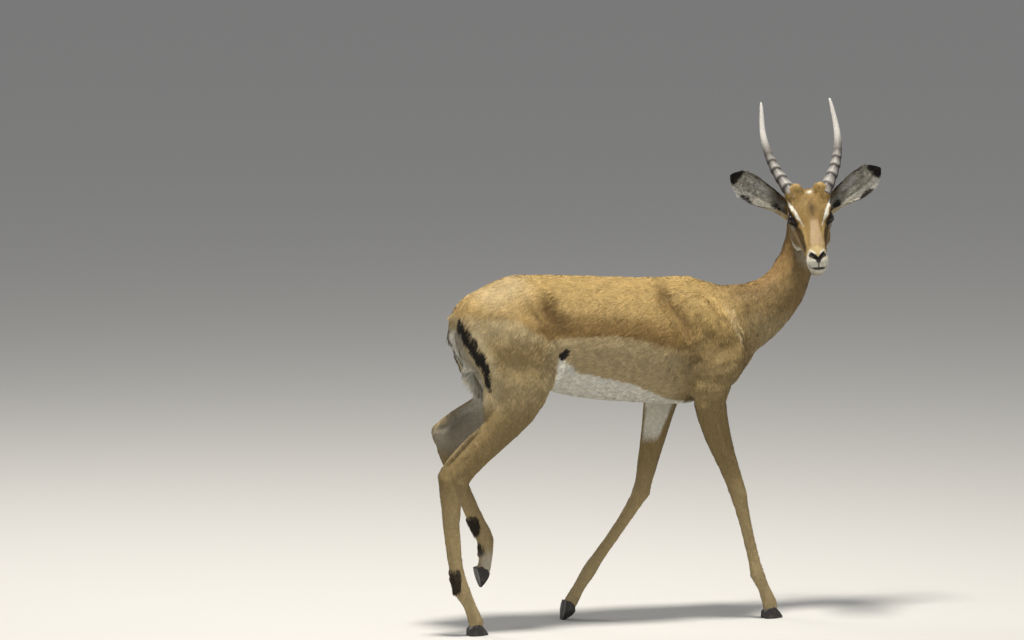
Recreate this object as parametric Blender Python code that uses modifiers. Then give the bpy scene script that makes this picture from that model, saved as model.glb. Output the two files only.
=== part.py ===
# A young male impala, life size, walking: two hind legs, two forelegs, the head turned to its right.
# Metres, +Z up.  The animal faces +X and its right side is -Y.
import math

import bmesh
import bpy
import numpy as np
from mathutils import Matrix, Vector

OBJECT_NAME = "impala"

GAP = 0.0004             # clearance between pieces that touch
TAIL_GAP = 0.0012        # and round the sharp root of the tail
BODY_VOXEL = 0.0062      # grid on which the forms of the body are fused
HEAD_VOXEL = 0.0036
BODY_TRIANGLES = 2760
HEAD_TRIANGLES = 1020
EAR_TRIANGLES = 270

# the head's place: the crown between the horns, and how the face is turned
CROWN = Vector((0.534, -0.079, 1.071))
HEAD_HEADING = math.radians(-108.0)   # the way the face looks, turned from +X
HEAD_PITCH = math.radians(41.5)       # the profile line slopes down this much
HEAD_ROLL = math.radians(3.5)         # the left side of the head is held a little higher

# places on the head, in its own axes: along the face, out of the forehead, to the side
EYE_RADIUS = 0.0175
EYE_PLACE = (0.058, -0.0290, 0.0390)
HORN_PLACE = (-0.004, -0.008)
EAR_PLACE = (-0.014, -0.066, 0.044)

HORN_BASE_RADIUS = 0.0175
HORN_RINGS = 6
HORN_LEAN = 0.008        # both tips curve this far to the animal's right

EAR_LENGTH = 0.170
EAR_WALL = 0.0032
EAR_LIFT = {-1: math.radians(33.0), 1: math.radians(30.0)}   # right ear, left ear

# hooves: the point of the toe and how far the foot is turned toe-down
FEET = {
    "fore_right": ((0.466, -0.078, 0.0), 0.0),
    "fore_left": ((-0.069, 0.088, -0.0015), 100.0),
    "hind_right": ((-0.335, -0.080, 0.0), 0.0),
    "hind_left": ((-0.2896, 0.085, 0.0946), 75.0)}
CLAW_INNER = 0.0008      # half the slit between the two claws of a foot
CLAW_OUTER = 0.0185      # half the width of a foot

# thin cuts that part the body: a point, and the way towards the piece that is cut off
NECK_CUT = ((0.372, 0.0, 0.745), (0.88, 0.0, 0.47))
NAPE_CUT = ((0.548, 0.0, 1.0), (0.20, -0.90, 0.38))

# the space of each leg: an egg round its top, and a block round all that lies below
LEG_SPACES = {
    "foreleg_right": ((0.272, -0.105, 0.600), (0.100, 0.080, 0.125),
                      (0.10, -0.30, -0.10), (0.60, -0.004, 0.525)),
    "foreleg_left": ((0.225, 0.105, 0.600), (0.105, 0.080, 0.125),
                     (-0.16, 0.004, -0.10), (0.33, 0.30, 0.522)),
    "thigh_right": ((-0.262, -0.115, 0.665), (0.135, 0.105, 0.165),
                    (-0.60, -0.30, -0.10), (-0.12, -0.004, 0.570)),
    "thigh_left": ((-0.240, 0.115, 0.670), (0.145, 0.105, 0.160),
                   (-0.60, 0.004, -0.10), (-0.10, 0.30, 0.570))}

# the cuts across the legs: the piece that is cut, the piece below, a point, the way down
LEG_CUTS = (
    ("foreleg_right", "cannon_fore_right", (0.348, -0.078, 0.302), (0.25, 0, -0.97)),
    ("foreleg_left", "cannon_fore_left", (0.141, 0.088, 0.300), (-0.45, 0, -0.89)),
    ("thigh_right", "shank_right", (-0.255, -0.085, 0.570), (-0.35, 0, -0.94)),
    ("shank_right", "cannon_hind_right", (-0.432, -0.080, 0.366), (0.15, 0, -0.99)),
    ("thigh_left", "shank_left", (-0.225, 0.088, 0.590), (-0.55, 0, -0.83)),
    ("shank_left", "cannon_hind_left", (-0.376, 0.085, 0.440), (0.42, 0, -0.91)))

# colour and roughness of each kind of piece
FINISHES = {
    "trunk": ((0.47, 0.25, 0.11), 0.85),
    "neck": ((0.42, 0.26, 0.14), 0.85),
    "head": ((0.44, 0.25, 0.12), 0.85),
    "tail": ((0.55, 0.46, 0.36), 0.90),
    "ear": ((0.48, 0.43, 0.38), 0.85),
    "foreleg": ((0.52, 0.33, 0.19), 0.85),
    "thigh": ((0.50, 0.30, 0.16), 0.85),
    "shank": ((0.52, 0.34, 0.20), 0.85),
    "cannon": ((0.55, 0.40, 0.26), 0.85),
    "hoof": ((0.020, 0.018, 0.017), 0.45),
    "horn": ((0.17, 0.14, 0.12), 0.50),
    "eye": ((0.015, 0.010, 0.008), 0.12)}


# ---- helpers -------------------------------------------------------------------------------------

def clear_scene():
    for old in list(bpy.data.objects):
        bpy.data.objects.remove(old, do_unlink=True)
    for mesh in list(bpy.data.meshes):
        bpy.data.meshes.remove(mesh)


def spline(rows, steps):
    """A smooth run through the rows of numbers, with steps rows for each stretch."""
    rows = np.array(rows, float)
    last = len(rows) - 1
    out = []
    for i in range(last):
        before = rows[max(i - 1, 0)]
        start = rows[i]
        end = rows[i + 1]
        after = rows[min(i + 2, last)]
        for step in range(steps):
            t = step / steps
            tangent_a = (end - before) * 0.5
            tangent_b = (after - start) * 0.5
            h00 = 2 * t ** 3 - 3 * t ** 2 + 1
            h10 = t ** 3 - 2 * t ** 2 + t
            h01 = -2 * t ** 3 + 3 * t ** 2
            h11 = t ** 3 - t ** 2
            out.append(h00 * start + h10 * tangent_a + h01 * end + h11 * tangent_b)
    out.append(rows[last])
    return np.array(out)


def power(value, exponent):
    return math.copysign(abs(value) ** exponent, value)


def ring(centre, side, up, half_width, rise, drop, top_power, low_power, count):
    """A closed ring: an oval whose upper and lower halves have their own height and squareness."""
    points = []
    for i in range(count):
        angle = 2 * math.pi * i / count
        c = math.cos(angle)
        s = math.sin(angle)
        exponent = 2.0 / (top_power if s >= 0 else low_power)
        height = rise if s >= 0 else drop
        points.append(centre + side * (half_width * power(c, exponent))
                      + up * (height * power(s, exponent)))
    return points


def object_from(work, name):
    """Turn the working mesh into a new object."""
    mesh = bpy.data.meshes.new(name)
    work.to_mesh(mesh)
    work.free()
    made = bpy.data.objects.new(name, mesh)
    bpy.context.scene.collection.objects.link(made)
    return made


def mesh_from_rings(name, rings):
    """A closed tube through rings of equal count, with a flat cap at each end."""
    work = bmesh.new()
    rows = [[work.verts.new(p) for p in points] for points in rings]
    count = len(rows[0])
    for a, b in zip(rows, rows[1:]):
        for i in range(count):
            j = (i + 1) % count
            work.faces.new((a[i], a[j], b[j], b[i]))
    work.faces.new(list(reversed(rows[0])))
    work.faces.new(rows[-1])
    bmesh.ops.recalc_face_normals(work, faces=work.faces)
    return object_from(work, name)


def loft_along_x(name, stations, count=24, steps=3):
    """Stations: x, height of the widest line, top, bottom, half width, top and low squareness."""
    rows = spline(stations, steps)
    rings = []
    for x, widest, top, bottom, half_width, top_power, low_power in rows:
        centre = Vector((x, 0.0, widest))
        rings.append(ring(centre, Vector((0, 1, 0)), Vector((0, 0, 1)), half_width, top - widest,
                          widest - bottom, top_power, low_power, count))
    return mesh_from_rings(name, rings)


def loft_limb(name, stations, count=16, steps=3, side_hint=Vector((0, 1, 0))):
    """Stations: x, y, z, reach to the front, reach to the back, half thickness across."""
    rows = spline(stations, steps)
    rings = []
    for i, row in enumerate(rows):
        before = rows[max(i - 1, 0)][:3]
        after = rows[min(i + 1, len(rows) - 1)][:3]
        along = Vector(after - before).normalized()
        front = side_hint.cross(along).normalized()
        side = along.cross(front).normalized()
        if front.x < 0:
            front = -front
        rings.append(ring(Vector(row[:3]), side, front, row[5], row[3], row[4], 2.0, 2.0, count))
    return mesh_from_rings(name, rings)


def muscle(name, start, end, half_width, half_depth, swell=0.12):
    """A long egg from start to end: half_depth in the fore-and-aft plane, half_width across."""
    start = Vector(start)
    end = Vector(end)
    along = end - start
    length = along.length
    along.normalize()
    side = Vector((0, 1, 0))
    side = (side - along * side.dot(along)).normalized()
    third = along.cross(side)
    bpy.ops.mesh.primitive_uv_sphere_add(segments=20, ring_count=12, radius=1.0)
    made = bpy.context.object
    made.name = name
    middle = (start + end) * 0.5
    reach = length * (0.5 + swell)
    for vertex in made.data.vertices:
        p = vertex.co.copy()
        vertex.co = middle + third * (p.x * half_depth) + side * (p.y * half_width) + along * (p.z * reach)
    return made


def join(name, pieces):
    bpy.ops.object.select_all(action="DESELECT")
    for piece in pieces:
        piece.select_set(True)
    bpy.context.view_layer.objects.active = pieces[0]
    bpy.ops.object.join()
    made = bpy.context.object
    made.name = name
    return made


def duplicate(source, name):
    made = source.copy()
    made.data = source.data.copy()
    made.name = name
    bpy.context.scene.collection.objects.link(made)
    return made


def apply_modifier(target, modifier):
    bpy.context.view_layer.objects.active = target
    bpy.ops.object.modifier_apply(modifier=modifier.name)


def fuse(target, voxel):
    """Make overlapping forms one skin on an even grid."""
    remesh = target.modifiers.new("Fuse", "REMESH")
    remesh.mode = "VOXEL"
    remesh.voxel_size = voxel
    remesh.adaptivity = 0.0
    apply_modifier(target, remesh)


def soften(target, rounds, weight=None):
    """Soften where forms meet; weight gives 0 to 1 for a point, and slim limbs take less."""
    smooth = target.modifiers.new("Soften", "SMOOTH")
    smooth.factor = 0.5
    smooth.iterations = rounds
    if weight:
        group = target.vertex_groups.new(name="soft")
        for vertex in target.data.vertices:
            group.add([vertex.index], weight(vertex.co), "REPLACE")
        smooth.vertex_group = group.name
    apply_modifier(target, smooth)


def thin_out(target, triangles):
    """Reduce the mesh to about this many triangles."""
    make_triangles(target)
    have = len(target.data.polygons)
    if have > triangles:
        decimate = target.modifiers.new("Thin out", "DECIMATE")
        decimate.ratio = triangles / have
        decimate.use_collapse_triangulate = True
        apply_modifier(target, decimate)


def make_triangles(target):
    work = bmesh.new()
    work.from_mesh(target.data)
    bmesh.ops.recalc_face_normals(work, faces=work.faces)
    bmesh.ops.triangulate(work, faces=work.faces)
    work.to_mesh(target.data)
    work.free()


def keep_side(target, point, normal):
    """Cut flat through the mesh and keep what lies on the side the normal points to."""
    work = bmesh.new()
    work.from_mesh(target.data)
    geometry = list(work.verts) + list(work.edges) + list(work.faces)
    bmesh.ops.bisect_plane(work, geom=geometry, dist=1e-6, plane_co=point, plane_no=normal,
                           clear_inner=True)
    rim = [edge for edge in work.edges if edge.is_boundary]
    bmesh.ops.holes_fill(work, edges=rim, sides=0)
    bmesh.ops.triangulate(work, faces=[face for face in work.faces if len(face.verts) > 4])
    bmesh.ops.recalc_face_normals(work, faces=work.faces)
    work.to_mesh(target.data)
    work.free()


def cut_pair(target, point, normal, name):
    """Part the mesh with a thin flat cut: target keeps the far side, the new piece the near one."""
    point = Vector(point)
    normal = Vector(normal).normalized()
    piece = duplicate(target, name)
    keep_side(piece, point + normal * (GAP / 2), normal)
    keep_side(target, point - normal * (GAP / 2), -normal)
    return piece


def grown(source, amount, name):
    """A copy whose surface stands out by amount."""
    made = duplicate(source, name)
    work = bmesh.new()
    work.from_mesh(made.data)
    work.normal_update()
    moves = [(vertex, vertex.normal.copy()) for vertex in work.verts]
    for vertex, normal in moves:
        vertex.co += normal * amount
    work.to_mesh(made.data)
    work.free()
    return made


def boolean(target, cutter, operation):
    modifier = target.modifiers.new("Boolean", "BOOLEAN")
    modifier.operation = operation
    modifier.object = cutter
    apply_modifier(target, modifier)


def remove(target):
    bpy.data.objects.remove(target, do_unlink=True)


def largest_piece(target):
    """Keep only the largest connected body, so that no crumb stays beside a cut."""
    work = bmesh.new()
    work.from_mesh(target.data)
    work.faces.ensure_lookup_table()
    seen = set()
    groups = []
    for face in work.faces:
        if face.index in seen:
            continue
        stack = [face]
        seen.add(face.index)
        group = []
        while stack:
            current = stack.pop()
            group.append(current)
            for edge in current.edges:
                for other in edge.link_faces:
                    if other.index not in seen:
                        seen.add(other.index)
                        stack.append(other)
        groups.append(group)
    groups.sort(key=len)
    for group in groups[:-1]:
        bmesh.ops.delete(work, geom=group, context="FACES")
    bmesh.ops.dissolve_degenerate(work, dist=1e-5, edges=work.edges)
    bmesh.ops.triangulate(work, faces=work.faces)
    work.to_mesh(target.data)
    work.free()


def finish_piece(target, collection):
    """Give the piece its own material, and move it to the object's collection."""
    colour, roughness = FINISHES[target.name.split("_")[0]]
    material = bpy.data.materials.new(target.name)
    material.use_nodes = True
    shader = material.node_tree.nodes["Principled BSDF"]
    shader.inputs["Base Color"].default_value = (*colour, 1.0)
    shader.inputs["Roughness"].default_value = roughness
    shader.inputs["Metallic"].default_value = 0.0
    target.data.materials.clear()
    target.data.materials.append(material)
    target.data.shade_smooth()
    for old in list(target.users_collection):
        old.objects.unlink(target)
    collection.objects.link(target)


# ---- the head's own axes -------------------------------------------------------------------------

def head_axes():
    level = Vector((math.cos(HEAD_HEADING), math.sin(HEAD_HEADING), 0.0))
    up = Vector((0, 0, 1))
    left = up.cross(level)
    roll = Matrix.Rotation(HEAD_ROLL, 3, level)
    left = roll @ left
    up = roll @ up
    face = level * math.cos(HEAD_PITCH) - up * math.sin(HEAD_PITCH)
    brow = level * math.sin(HEAD_PITCH) + up * math.cos(HEAD_PITCH)
    return level, up, left, face, brow


LEVEL, UPWARD, LEFT, FACE, BROW = head_axes()


def on_head(along, depth, side):
    """A point of the head: along the face from the crown, out of the forehead, to its left."""
    return CROWN + FACE * along + BROW * depth + LEFT * side


# ---- flesh ---------------------------------------------------------------------------------------

def build_trunk():
    # x, widest height, top, bottom, half width, squareness above and below
    return loft_along_x("trunk_form", [
        (-0.398, 0.755, 0.792, 0.715, 0.030, 2.0, 2.0),     # root of the tail
        (-0.370, 0.750, 0.832, 0.670, 0.070, 2.0, 2.0),     # pin bones
        (-0.310, 0.745, 0.864, 0.640, 0.094, 1.9, 2.1),
        (-0.245, 0.740, 0.888, 0.622, 0.102, 1.8, 2.2),     # croup
        (-0.170, 0.740, 0.889, 0.600, 0.101, 1.8, 2.2),     # hips
        (-0.090, 0.715, 0.884, 0.577, 0.104, 1.85, 2.2),    # loin
        (0.000, 0.700, 0.878, 0.562, 0.114, 1.9, 2.2),      # last ribs
        (0.080, 0.690, 0.873, 0.555, 0.119, 1.9, 2.2),      # barrel
        (0.160, 0.680, 0.871, 0.547, 0.112, 1.8, 2.1),      # girth
        (0.235, 0.680, 0.872, 0.545, 0.096, 1.6, 2.0),      # withers
        (0.300, 0.690, 0.852, 0.562, 0.082, 1.7, 2.0),
        (0.360, 0.700, 0.830, 0.592, 0.066, 2.0, 2.0),      # front of the chest
        (0.405, 0.710, 0.790, 0.640, 0.046, 2.0, 2.0),
        (0.425, 0.712, 0.750, 0.672, 0.022, 2.0, 2.0)])


def build_neck():
    # x, y, z, reach to the nape side is "back", reach to the throat side is "front", half thickness
    rows = spline([
        (0.285, 0.000, 0.700, 0.135, 0.140, 0.074),
        (0.352, 0.000, 0.738, 0.112, 0.104, 0.066),
        (0.429, 0.000, 0.771, 0.083, 0.084, 0.056),
        (0.490, 0.000, 0.818, 0.062, 0.068, 0.049),
        (0.530, 0.000, 0.883, 0.048, 0.055, 0.045),
        (0.548, -0.006, 0.952, 0.043, 0.050, 0.043),
        (0.549, -0.020, 1.012, 0.042, 0.046, 0.042)], 4)
    rings = []
    for i, row in enumerate(rows):
        before = rows[max(i - 1, 0)][:3]
        after = rows[min(i + 1, len(rows) - 1)][:3]
        along = Vector(after - before).normalized()
        side = Vector((0, 1, 0))
        side = (side - along * side.dot(along)).normalized()
        throat = side.cross(along).normalized()
        rings.append(ring(Vector(row[:3]), side, throat, row[5], row[4], row[3], 2.0, 2.0, 20))
    return mesh_from_rings("neck_form", rings)


def build_head():
    # along the face, profile line, underside, height of the widest line, half width, squareness
    rows = spline([
        (-0.052, -0.045, -0.085, -0.065, 0.022, 2.0, 2.0),  # back of the skull
        (-0.035, -0.018, -0.108, -0.060, 0.042, 2.0, 2.0),
        (-0.005, -0.001, -0.122, -0.055, 0.051, 2.3, 2.0),  # crown
        (0.030, 0.003, -0.125, -0.048, 0.0545, 2.5, 2.1),   # forehead and jaw corner
        (0.058, 0.001, -0.120, -0.040, 0.0530, 2.6, 2.1),   # brow over the eyes
        (0.086, -0.004, -0.111, -0.046, 0.0440, 2.1, 2.2),
        (0.120, -0.007, -0.098, -0.048, 0.0360, 2.0, 2.2),  # bridge
        (0.154, -0.007, -0.086, -0.046, 0.0295, 2.1, 2.2),
        (0.184, -0.006, -0.078, -0.038, 0.0265, 2.2, 2.2),  # muzzle
        (0.204, -0.006, -0.073, -0.034, 0.0280, 2.3, 2.2),  # nostrils
        (0.217, -0.012, -0.066, -0.034, 0.0245, 2.3, 2.2),
        (0.225, -0.022, -0.054, -0.036, 0.0150, 2.2, 2.2)], 3)
    rings = []
    for along, top, low, widest, half_width, top_power, low_power in rows:
        rings.append(ring(on_head(along, widest, 0.0), LEFT, BROW, half_width, top - widest,
                          widest - low, top_power, low_power, 24))
    pieces = [mesh_from_rings("head_form", rings)]
    for side in (-1, 1):
        # the rim of bone round each eye, the cheek, and the seat of each horn
        pieces.append(ball(on_head(0.050, -0.016, side * 0.0430), (0.026, 0.013, 0.0165)))
        pieces.append(ball(on_head(0.064, -0.046, side * 0.0390), (0.024, 0.013, 0.0150)))
        pieces.append(ball(on_head(0.056, -0.082, side * 0.0350), (0.055, 0.036, 0.0150)))
        pieces.append(ball(on_head(HORN_PLACE[0] + 0.006, -0.010, side * 0.0370),
                           (0.0240, 0.0165, 0.0200)))
        pieces.append(ball(on_head(-0.014, -0.066, side * 0.0400), (0.022, 0.024, 0.0160)))
    pieces.append(ball(on_head(0.200, -0.066, 0.0), (0.020, 0.0125, 0.0200)))   # chin
    return join("head_form", pieces)


def ball(centre, radii):
    """An ellipsoid in the head's axes: along the face, out of the forehead, to the side."""
    bpy.ops.mesh.primitive_uv_sphere_add(segments=20, ring_count=12, radius=1.0)
    made = bpy.context.object
    for vertex in made.data.vertices:
        p = vertex.co.copy()
        vertex.co = centre + FACE * (p.x * radii[0]) + BROW * (p.y * radii[1]) + LEFT * (p.z * radii[2])
    return made


# stations of each leg: x, y, z, reach to the front, reach to the back, half thickness across
NEAR_FORE = [
    (0.285, -0.062, 0.690, 0.040, 0.040, 0.018),
    (0.277, -0.080, 0.620, 0.055, 0.060, 0.034),
    (0.266, -0.083, 0.560, 0.044, 0.048, 0.032),    # elbow
    (0.284, -0.081, 0.480, 0.038, 0.038, 0.026),
    (0.310, -0.079, 0.410, 0.030, 0.029, 0.022),    # forearm
    (0.333, -0.078, 0.352, 0.025, 0.024, 0.0205),
    (0.344, -0.078, 0.320, 0.0245, 0.0235, 0.0215), # knee
    (0.354, -0.078, 0.285, 0.020, 0.020, 0.0180),
    (0.374, -0.078, 0.210, 0.016, 0.0185, 0.0145),  # cannon
    (0.392, -0.078, 0.142, 0.0165, 0.0195, 0.0150),
    (0.400, -0.078, 0.112, 0.0190, 0.0225, 0.0185), # fetlock
    (0.412, -0.078, 0.086, 0.0165, 0.0185, 0.0165),
    (0.425, -0.078, 0.058, 0.0175, 0.0200, 0.0180), # pastern
    (0.434, -0.078, 0.036, 0.0200, 0.0225, 0.0200),
    (0.438, -0.078, 0.016, 0.0190, 0.0210, 0.0180)]

FAR_FORE = [
    (0.258, 0.062, 0.690, 0.040, 0.040, 0.018),
    (0.224, 0.080, 0.620, 0.058, 0.062, 0.034),
    (0.205, 0.085, 0.555, 0.048, 0.050, 0.032),     # elbow
    (0.186, 0.086, 0.470, 0.037, 0.038, 0.026),
    (0.170, 0.087, 0.400, 0.030, 0.030, 0.022),     # forearm
    (0.158, 0.088, 0.350, 0.026, 0.025, 0.0205),
    (0.150, 0.088, 0.318, 0.0250, 0.0240, 0.0215),  # knee
    (0.130, 0.088, 0.284, 0.020, 0.020, 0.0180),
    (0.082, 0.088, 0.216, 0.0165, 0.0185, 0.0145),  # cannon
    (0.030, 0.088, 0.150, 0.0170, 0.0190, 0.0150),
    (0.008, 0.088, 0.120, 0.0195, 0.0215, 0.0185),  # fetlock
    (-0.012, 0.088, 0.091, 0.0165, 0.0180, 0.0165),
    (-0.030, 0.088, 0.064, 0.0175, 0.0185, 0.0180), # pastern
    (-0.042, 0.088, 0.043, 0.0190, 0.0200, 0.0195),
    (-0.052, 0.088, 0.026, 0.0150, 0.0160, 0.0160)]

NEAR_HIND = [
    (-0.262, -0.066, 0.740, 0.070, 0.075, 0.024),
    (-0.243, -0.084, 0.655, 0.080, 0.086, 0.040),
    (-0.248, -0.087, 0.580, 0.057, 0.074, 0.038),   # stifle and upper shank
    (-0.295, -0.084, 0.523, 0.048, 0.050, 0.031),
    (-0.351, -0.082, 0.467, 0.040, 0.038, 0.024),   # shank
    (-0.398, -0.081, 0.425, 0.040, 0.034, 0.0195),
    (-0.427, -0.080, 0.385, 0.041, 0.040, 0.0205),  # hock
    (-0.432, -0.080, 0.340, 0.0295, 0.0300, 0.0190),
    (-0.430, -0.080, 0.270, 0.0225, 0.0250, 0.0160),  # cannon
    (-0.422, -0.080, 0.190, 0.0210, 0.0215, 0.0150),
    (-0.411, -0.080, 0.140, 0.0210, 0.0215, 0.0160),
    (-0.401, -0.080, 0.112, 0.0220, 0.0240, 0.0190),# fetlock
    (-0.386, -0.080, 0.084, 0.0170, 0.0190, 0.0170),
    (-0.374, -0.080, 0.057, 0.0175, 0.0200, 0.0180),# pastern
    (-0.366, -0.080, 0.036, 0.0200, 0.0225, 0.0200),
    (-0.362, -0.080, 0.016, 0.0190, 0.0210, 0.0180)]

FAR_HIND = [
    (-0.245, 0.066, 0.740, 0.070, 0.075, 0.024),
    (-0.205, 0.084, 0.660, 0.084, 0.090, 0.040),
    (-0.205, 0.088, 0.602, 0.070, 0.066, 0.038),    # stifle and upper shank
    (-0.252, 0.088, 0.565, 0.066, 0.036, 0.030),
    (-0.312, 0.086, 0.533, 0.064, 0.036, 0.024),    # shank
    (-0.358, 0.085, 0.500, 0.060, 0.030, 0.0195),
    (-0.378, 0.085, 0.462, 0.044, 0.030, 0.0205),   # hock
    (-0.368, 0.085, 0.422, 0.033, 0.026, 0.0190),
    (-0.344, 0.085, 0.362, 0.024, 0.024, 0.0160),   # cannon
    (-0.313, 0.085, 0.290, 0.0240, 0.0220, 0.0150),
    (-0.290, 0.085, 0.246, 0.0235, 0.0230, 0.0160),
    (-0.275, 0.085, 0.216, 0.0240, 0.0250, 0.0190), # fetlock
    (-0.273, 0.085, 0.184, 0.0200, 0.0200, 0.0170),
    (-0.276, 0.085, 0.156, 0.0195, 0.0190, 0.0180), # pastern
    (-0.281, 0.085, 0.134, 0.0195, 0.0205, 0.0195),
    (-0.284, 0.085, 0.117, 0.0160, 0.0160, 0.0165)]


def build_body_forms():
    forms = [build_trunk(), build_neck()]
    for name, stations in (("near_fore", NEAR_FORE), ("far_fore", FAR_FORE),
                           ("near_hind", NEAR_HIND), ("far_hind", FAR_HIND)):
        forms.append(loft_limb(name + "_form", stations))
    for side in (-1, 1):
        # shoulder blade, upper arm, point of the shoulder
        forms.append(muscle("blade", (0.215, side * 0.050, 0.822), (0.330, side * 0.080, 0.690),
                            0.020, 0.050, swell=0.10))
        forms.append(muscle("arm", (0.345, side * 0.080, 0.675), (0.235, side * 0.088, 0.590),
                            0.030, 0.045, swell=0.15))
        forms.append(muscle("breast", (0.375, side * 0.032, 0.690), (0.300, side * 0.045, 0.590),
                            0.035, 0.040, swell=0.10))
        # hip, thigh and buttock
        forms.append(muscle("hip", (-0.150, side * 0.060, 0.836), (-0.285, side * 0.080, 0.720),
                            0.024, 0.066, swell=0.12))
        forms.append(muscle("buttock", (-0.368, side * 0.046, 0.785), (-0.300, side * 0.078, 0.600),
                            0.034, 0.034, swell=0.10))
    forms.append(muscle("near_thigh", (-0.270, -0.075, 0.790), (-0.215, -0.090, 0.630),
                        0.040, 0.085, swell=0.08))
    forms.append(muscle("far_thigh", (-0.265, 0.075, 0.790), (-0.180, 0.090, 0.650),
                        0.040, 0.085, swell=0.08))
    forms.append(muscle("near_ham", (-0.318, -0.070, 0.720), (-0.290, -0.082, 0.585),
                        0.034, 0.046, swell=0.08))
    forms.append(muscle("far_ham", (-0.315, 0.070, 0.720), (-0.262, 0.084, 0.600),
                        0.034, 0.050, swell=0.08))
    forms.append(muscle("near_fold", (-0.110, -0.085, 0.680), (-0.185, -0.088, 0.610),
                        0.018, 0.030, swell=0.10))
    forms.append(muscle("far_fold", (-0.085, 0.085, 0.680), (-0.150, 0.088, 0.635),
                        0.018, 0.030, swell=0.10))
    # the points of the hocks, with the tendon above each
    forms.append(muscle("near_hock", (-0.457, -0.080, 0.417), (-0.446, -0.080, 0.350),
                        0.0150, 0.0165, swell=0.10))
    forms.append(muscle("near_tendon", (-0.458, -0.080, 0.417), (-0.352, -0.083, 0.520),
                        0.0110, 0.0120, swell=0.08))
    forms.append(muscle("near_string", (-0.328, -0.078, 0.650), (-0.328, -0.083, 0.515),
                        0.0200, 0.0230, swell=0.10))
    forms.append(muscle("far_hock", (-0.414, 0.085, 0.505), (-0.392, 0.085, 0.452),
                        0.0150, 0.0150, swell=0.10))
    forms.append(muscle("far_tendon", (-0.416, 0.085, 0.501), (-0.315, 0.087, 0.562),
                        0.0105, 0.0115, swell=0.08))
    return forms


def build_tail():
    rows = spline([
        (-0.368, 0.000, 0.802, 0.0170, 0.0170),
        (-0.394, 0.000, 0.784, 0.0150, 0.0150),
        (-0.398, 0.000, 0.748, 0.0135, 0.0100),
        (-0.382, 0.000, 0.704, 0.0160, 0.0090),
        (-0.358, 0.000, 0.658, 0.0170, 0.0090),
        (-0.334, 0.000, 0.620, 0.0140, 0.0080),
        (-0.320, 0.000, 0.596, 0.0060, 0.0050)], 1)
    rings = []
    for i, row in enumerate(rows):
        before = rows[max(i - 1, 0)][:3]
        after = rows[min(i + 1, len(rows) - 1)][:3]
        along = Vector(after - before).normalized()
        side = Vector((0, 1, 0))
        third = side.cross(along).normalized()
        rings.append(ring(Vector(row[:3]), side, third, row[3], row[4], row[4], 2.0, 2.0, 10))
    return mesh_from_rings("tail", rings)


# ---- horns, ears, eyes, hooves -------------------------------------------------------------------

def build_horn(name, side):
    # sideways from the base, backwards, upwards
    path = spline([
        (0.0330, -0.004, -0.014),
        (0.0403, 0.004, 0.002),
        (0.0583, 0.028, 0.032),
        (0.0755, 0.050, 0.065),
        (0.0885, 0.071, 0.107),
        (0.0935, 0.091, 0.156),
        (0.0870, 0.106, 0.231)], 4)
    start = on_head(*HORN_PLACE, 0.0)
    count = len(path)
    points = []
    for i, (sideways, backwards, upwards) in enumerate(path):
        share = i / (count - 1)
        lean = HORN_LEAN * (2 * share ** 3 - share)
        points.append(start + LEFT * (side * sideways - lean) - LEVEL * backwards + UPWARD * upwards)
    rings = []
    for i, point in enumerate(points):
        share = i / (count - 1)
        along = (points[min(i + 1, count - 1)] - points[max(i - 1, 0)]).normalized()
        across = along.cross(LEVEL).normalized()
        front = across.cross(along).normalized()
        radius = HORN_BASE_RADIUS * (1.0 - share) ** 0.55 + 0.0012
        ridge = 0.0
        if 0.06 < share < 0.62:
            phase = (share - 0.06) / 0.56 * HORN_RINGS
            ridge = 0.0009 * (1.0 - share) * math.cos(2 * math.pi * phase)
        rings.append(ring(point, across, front, radius + ridge, radius * 1.06 + ridge,
                          radius * 1.06 + ridge, 2.0, 2.0, 8))
    return mesh_from_rings(name, rings)


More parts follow.
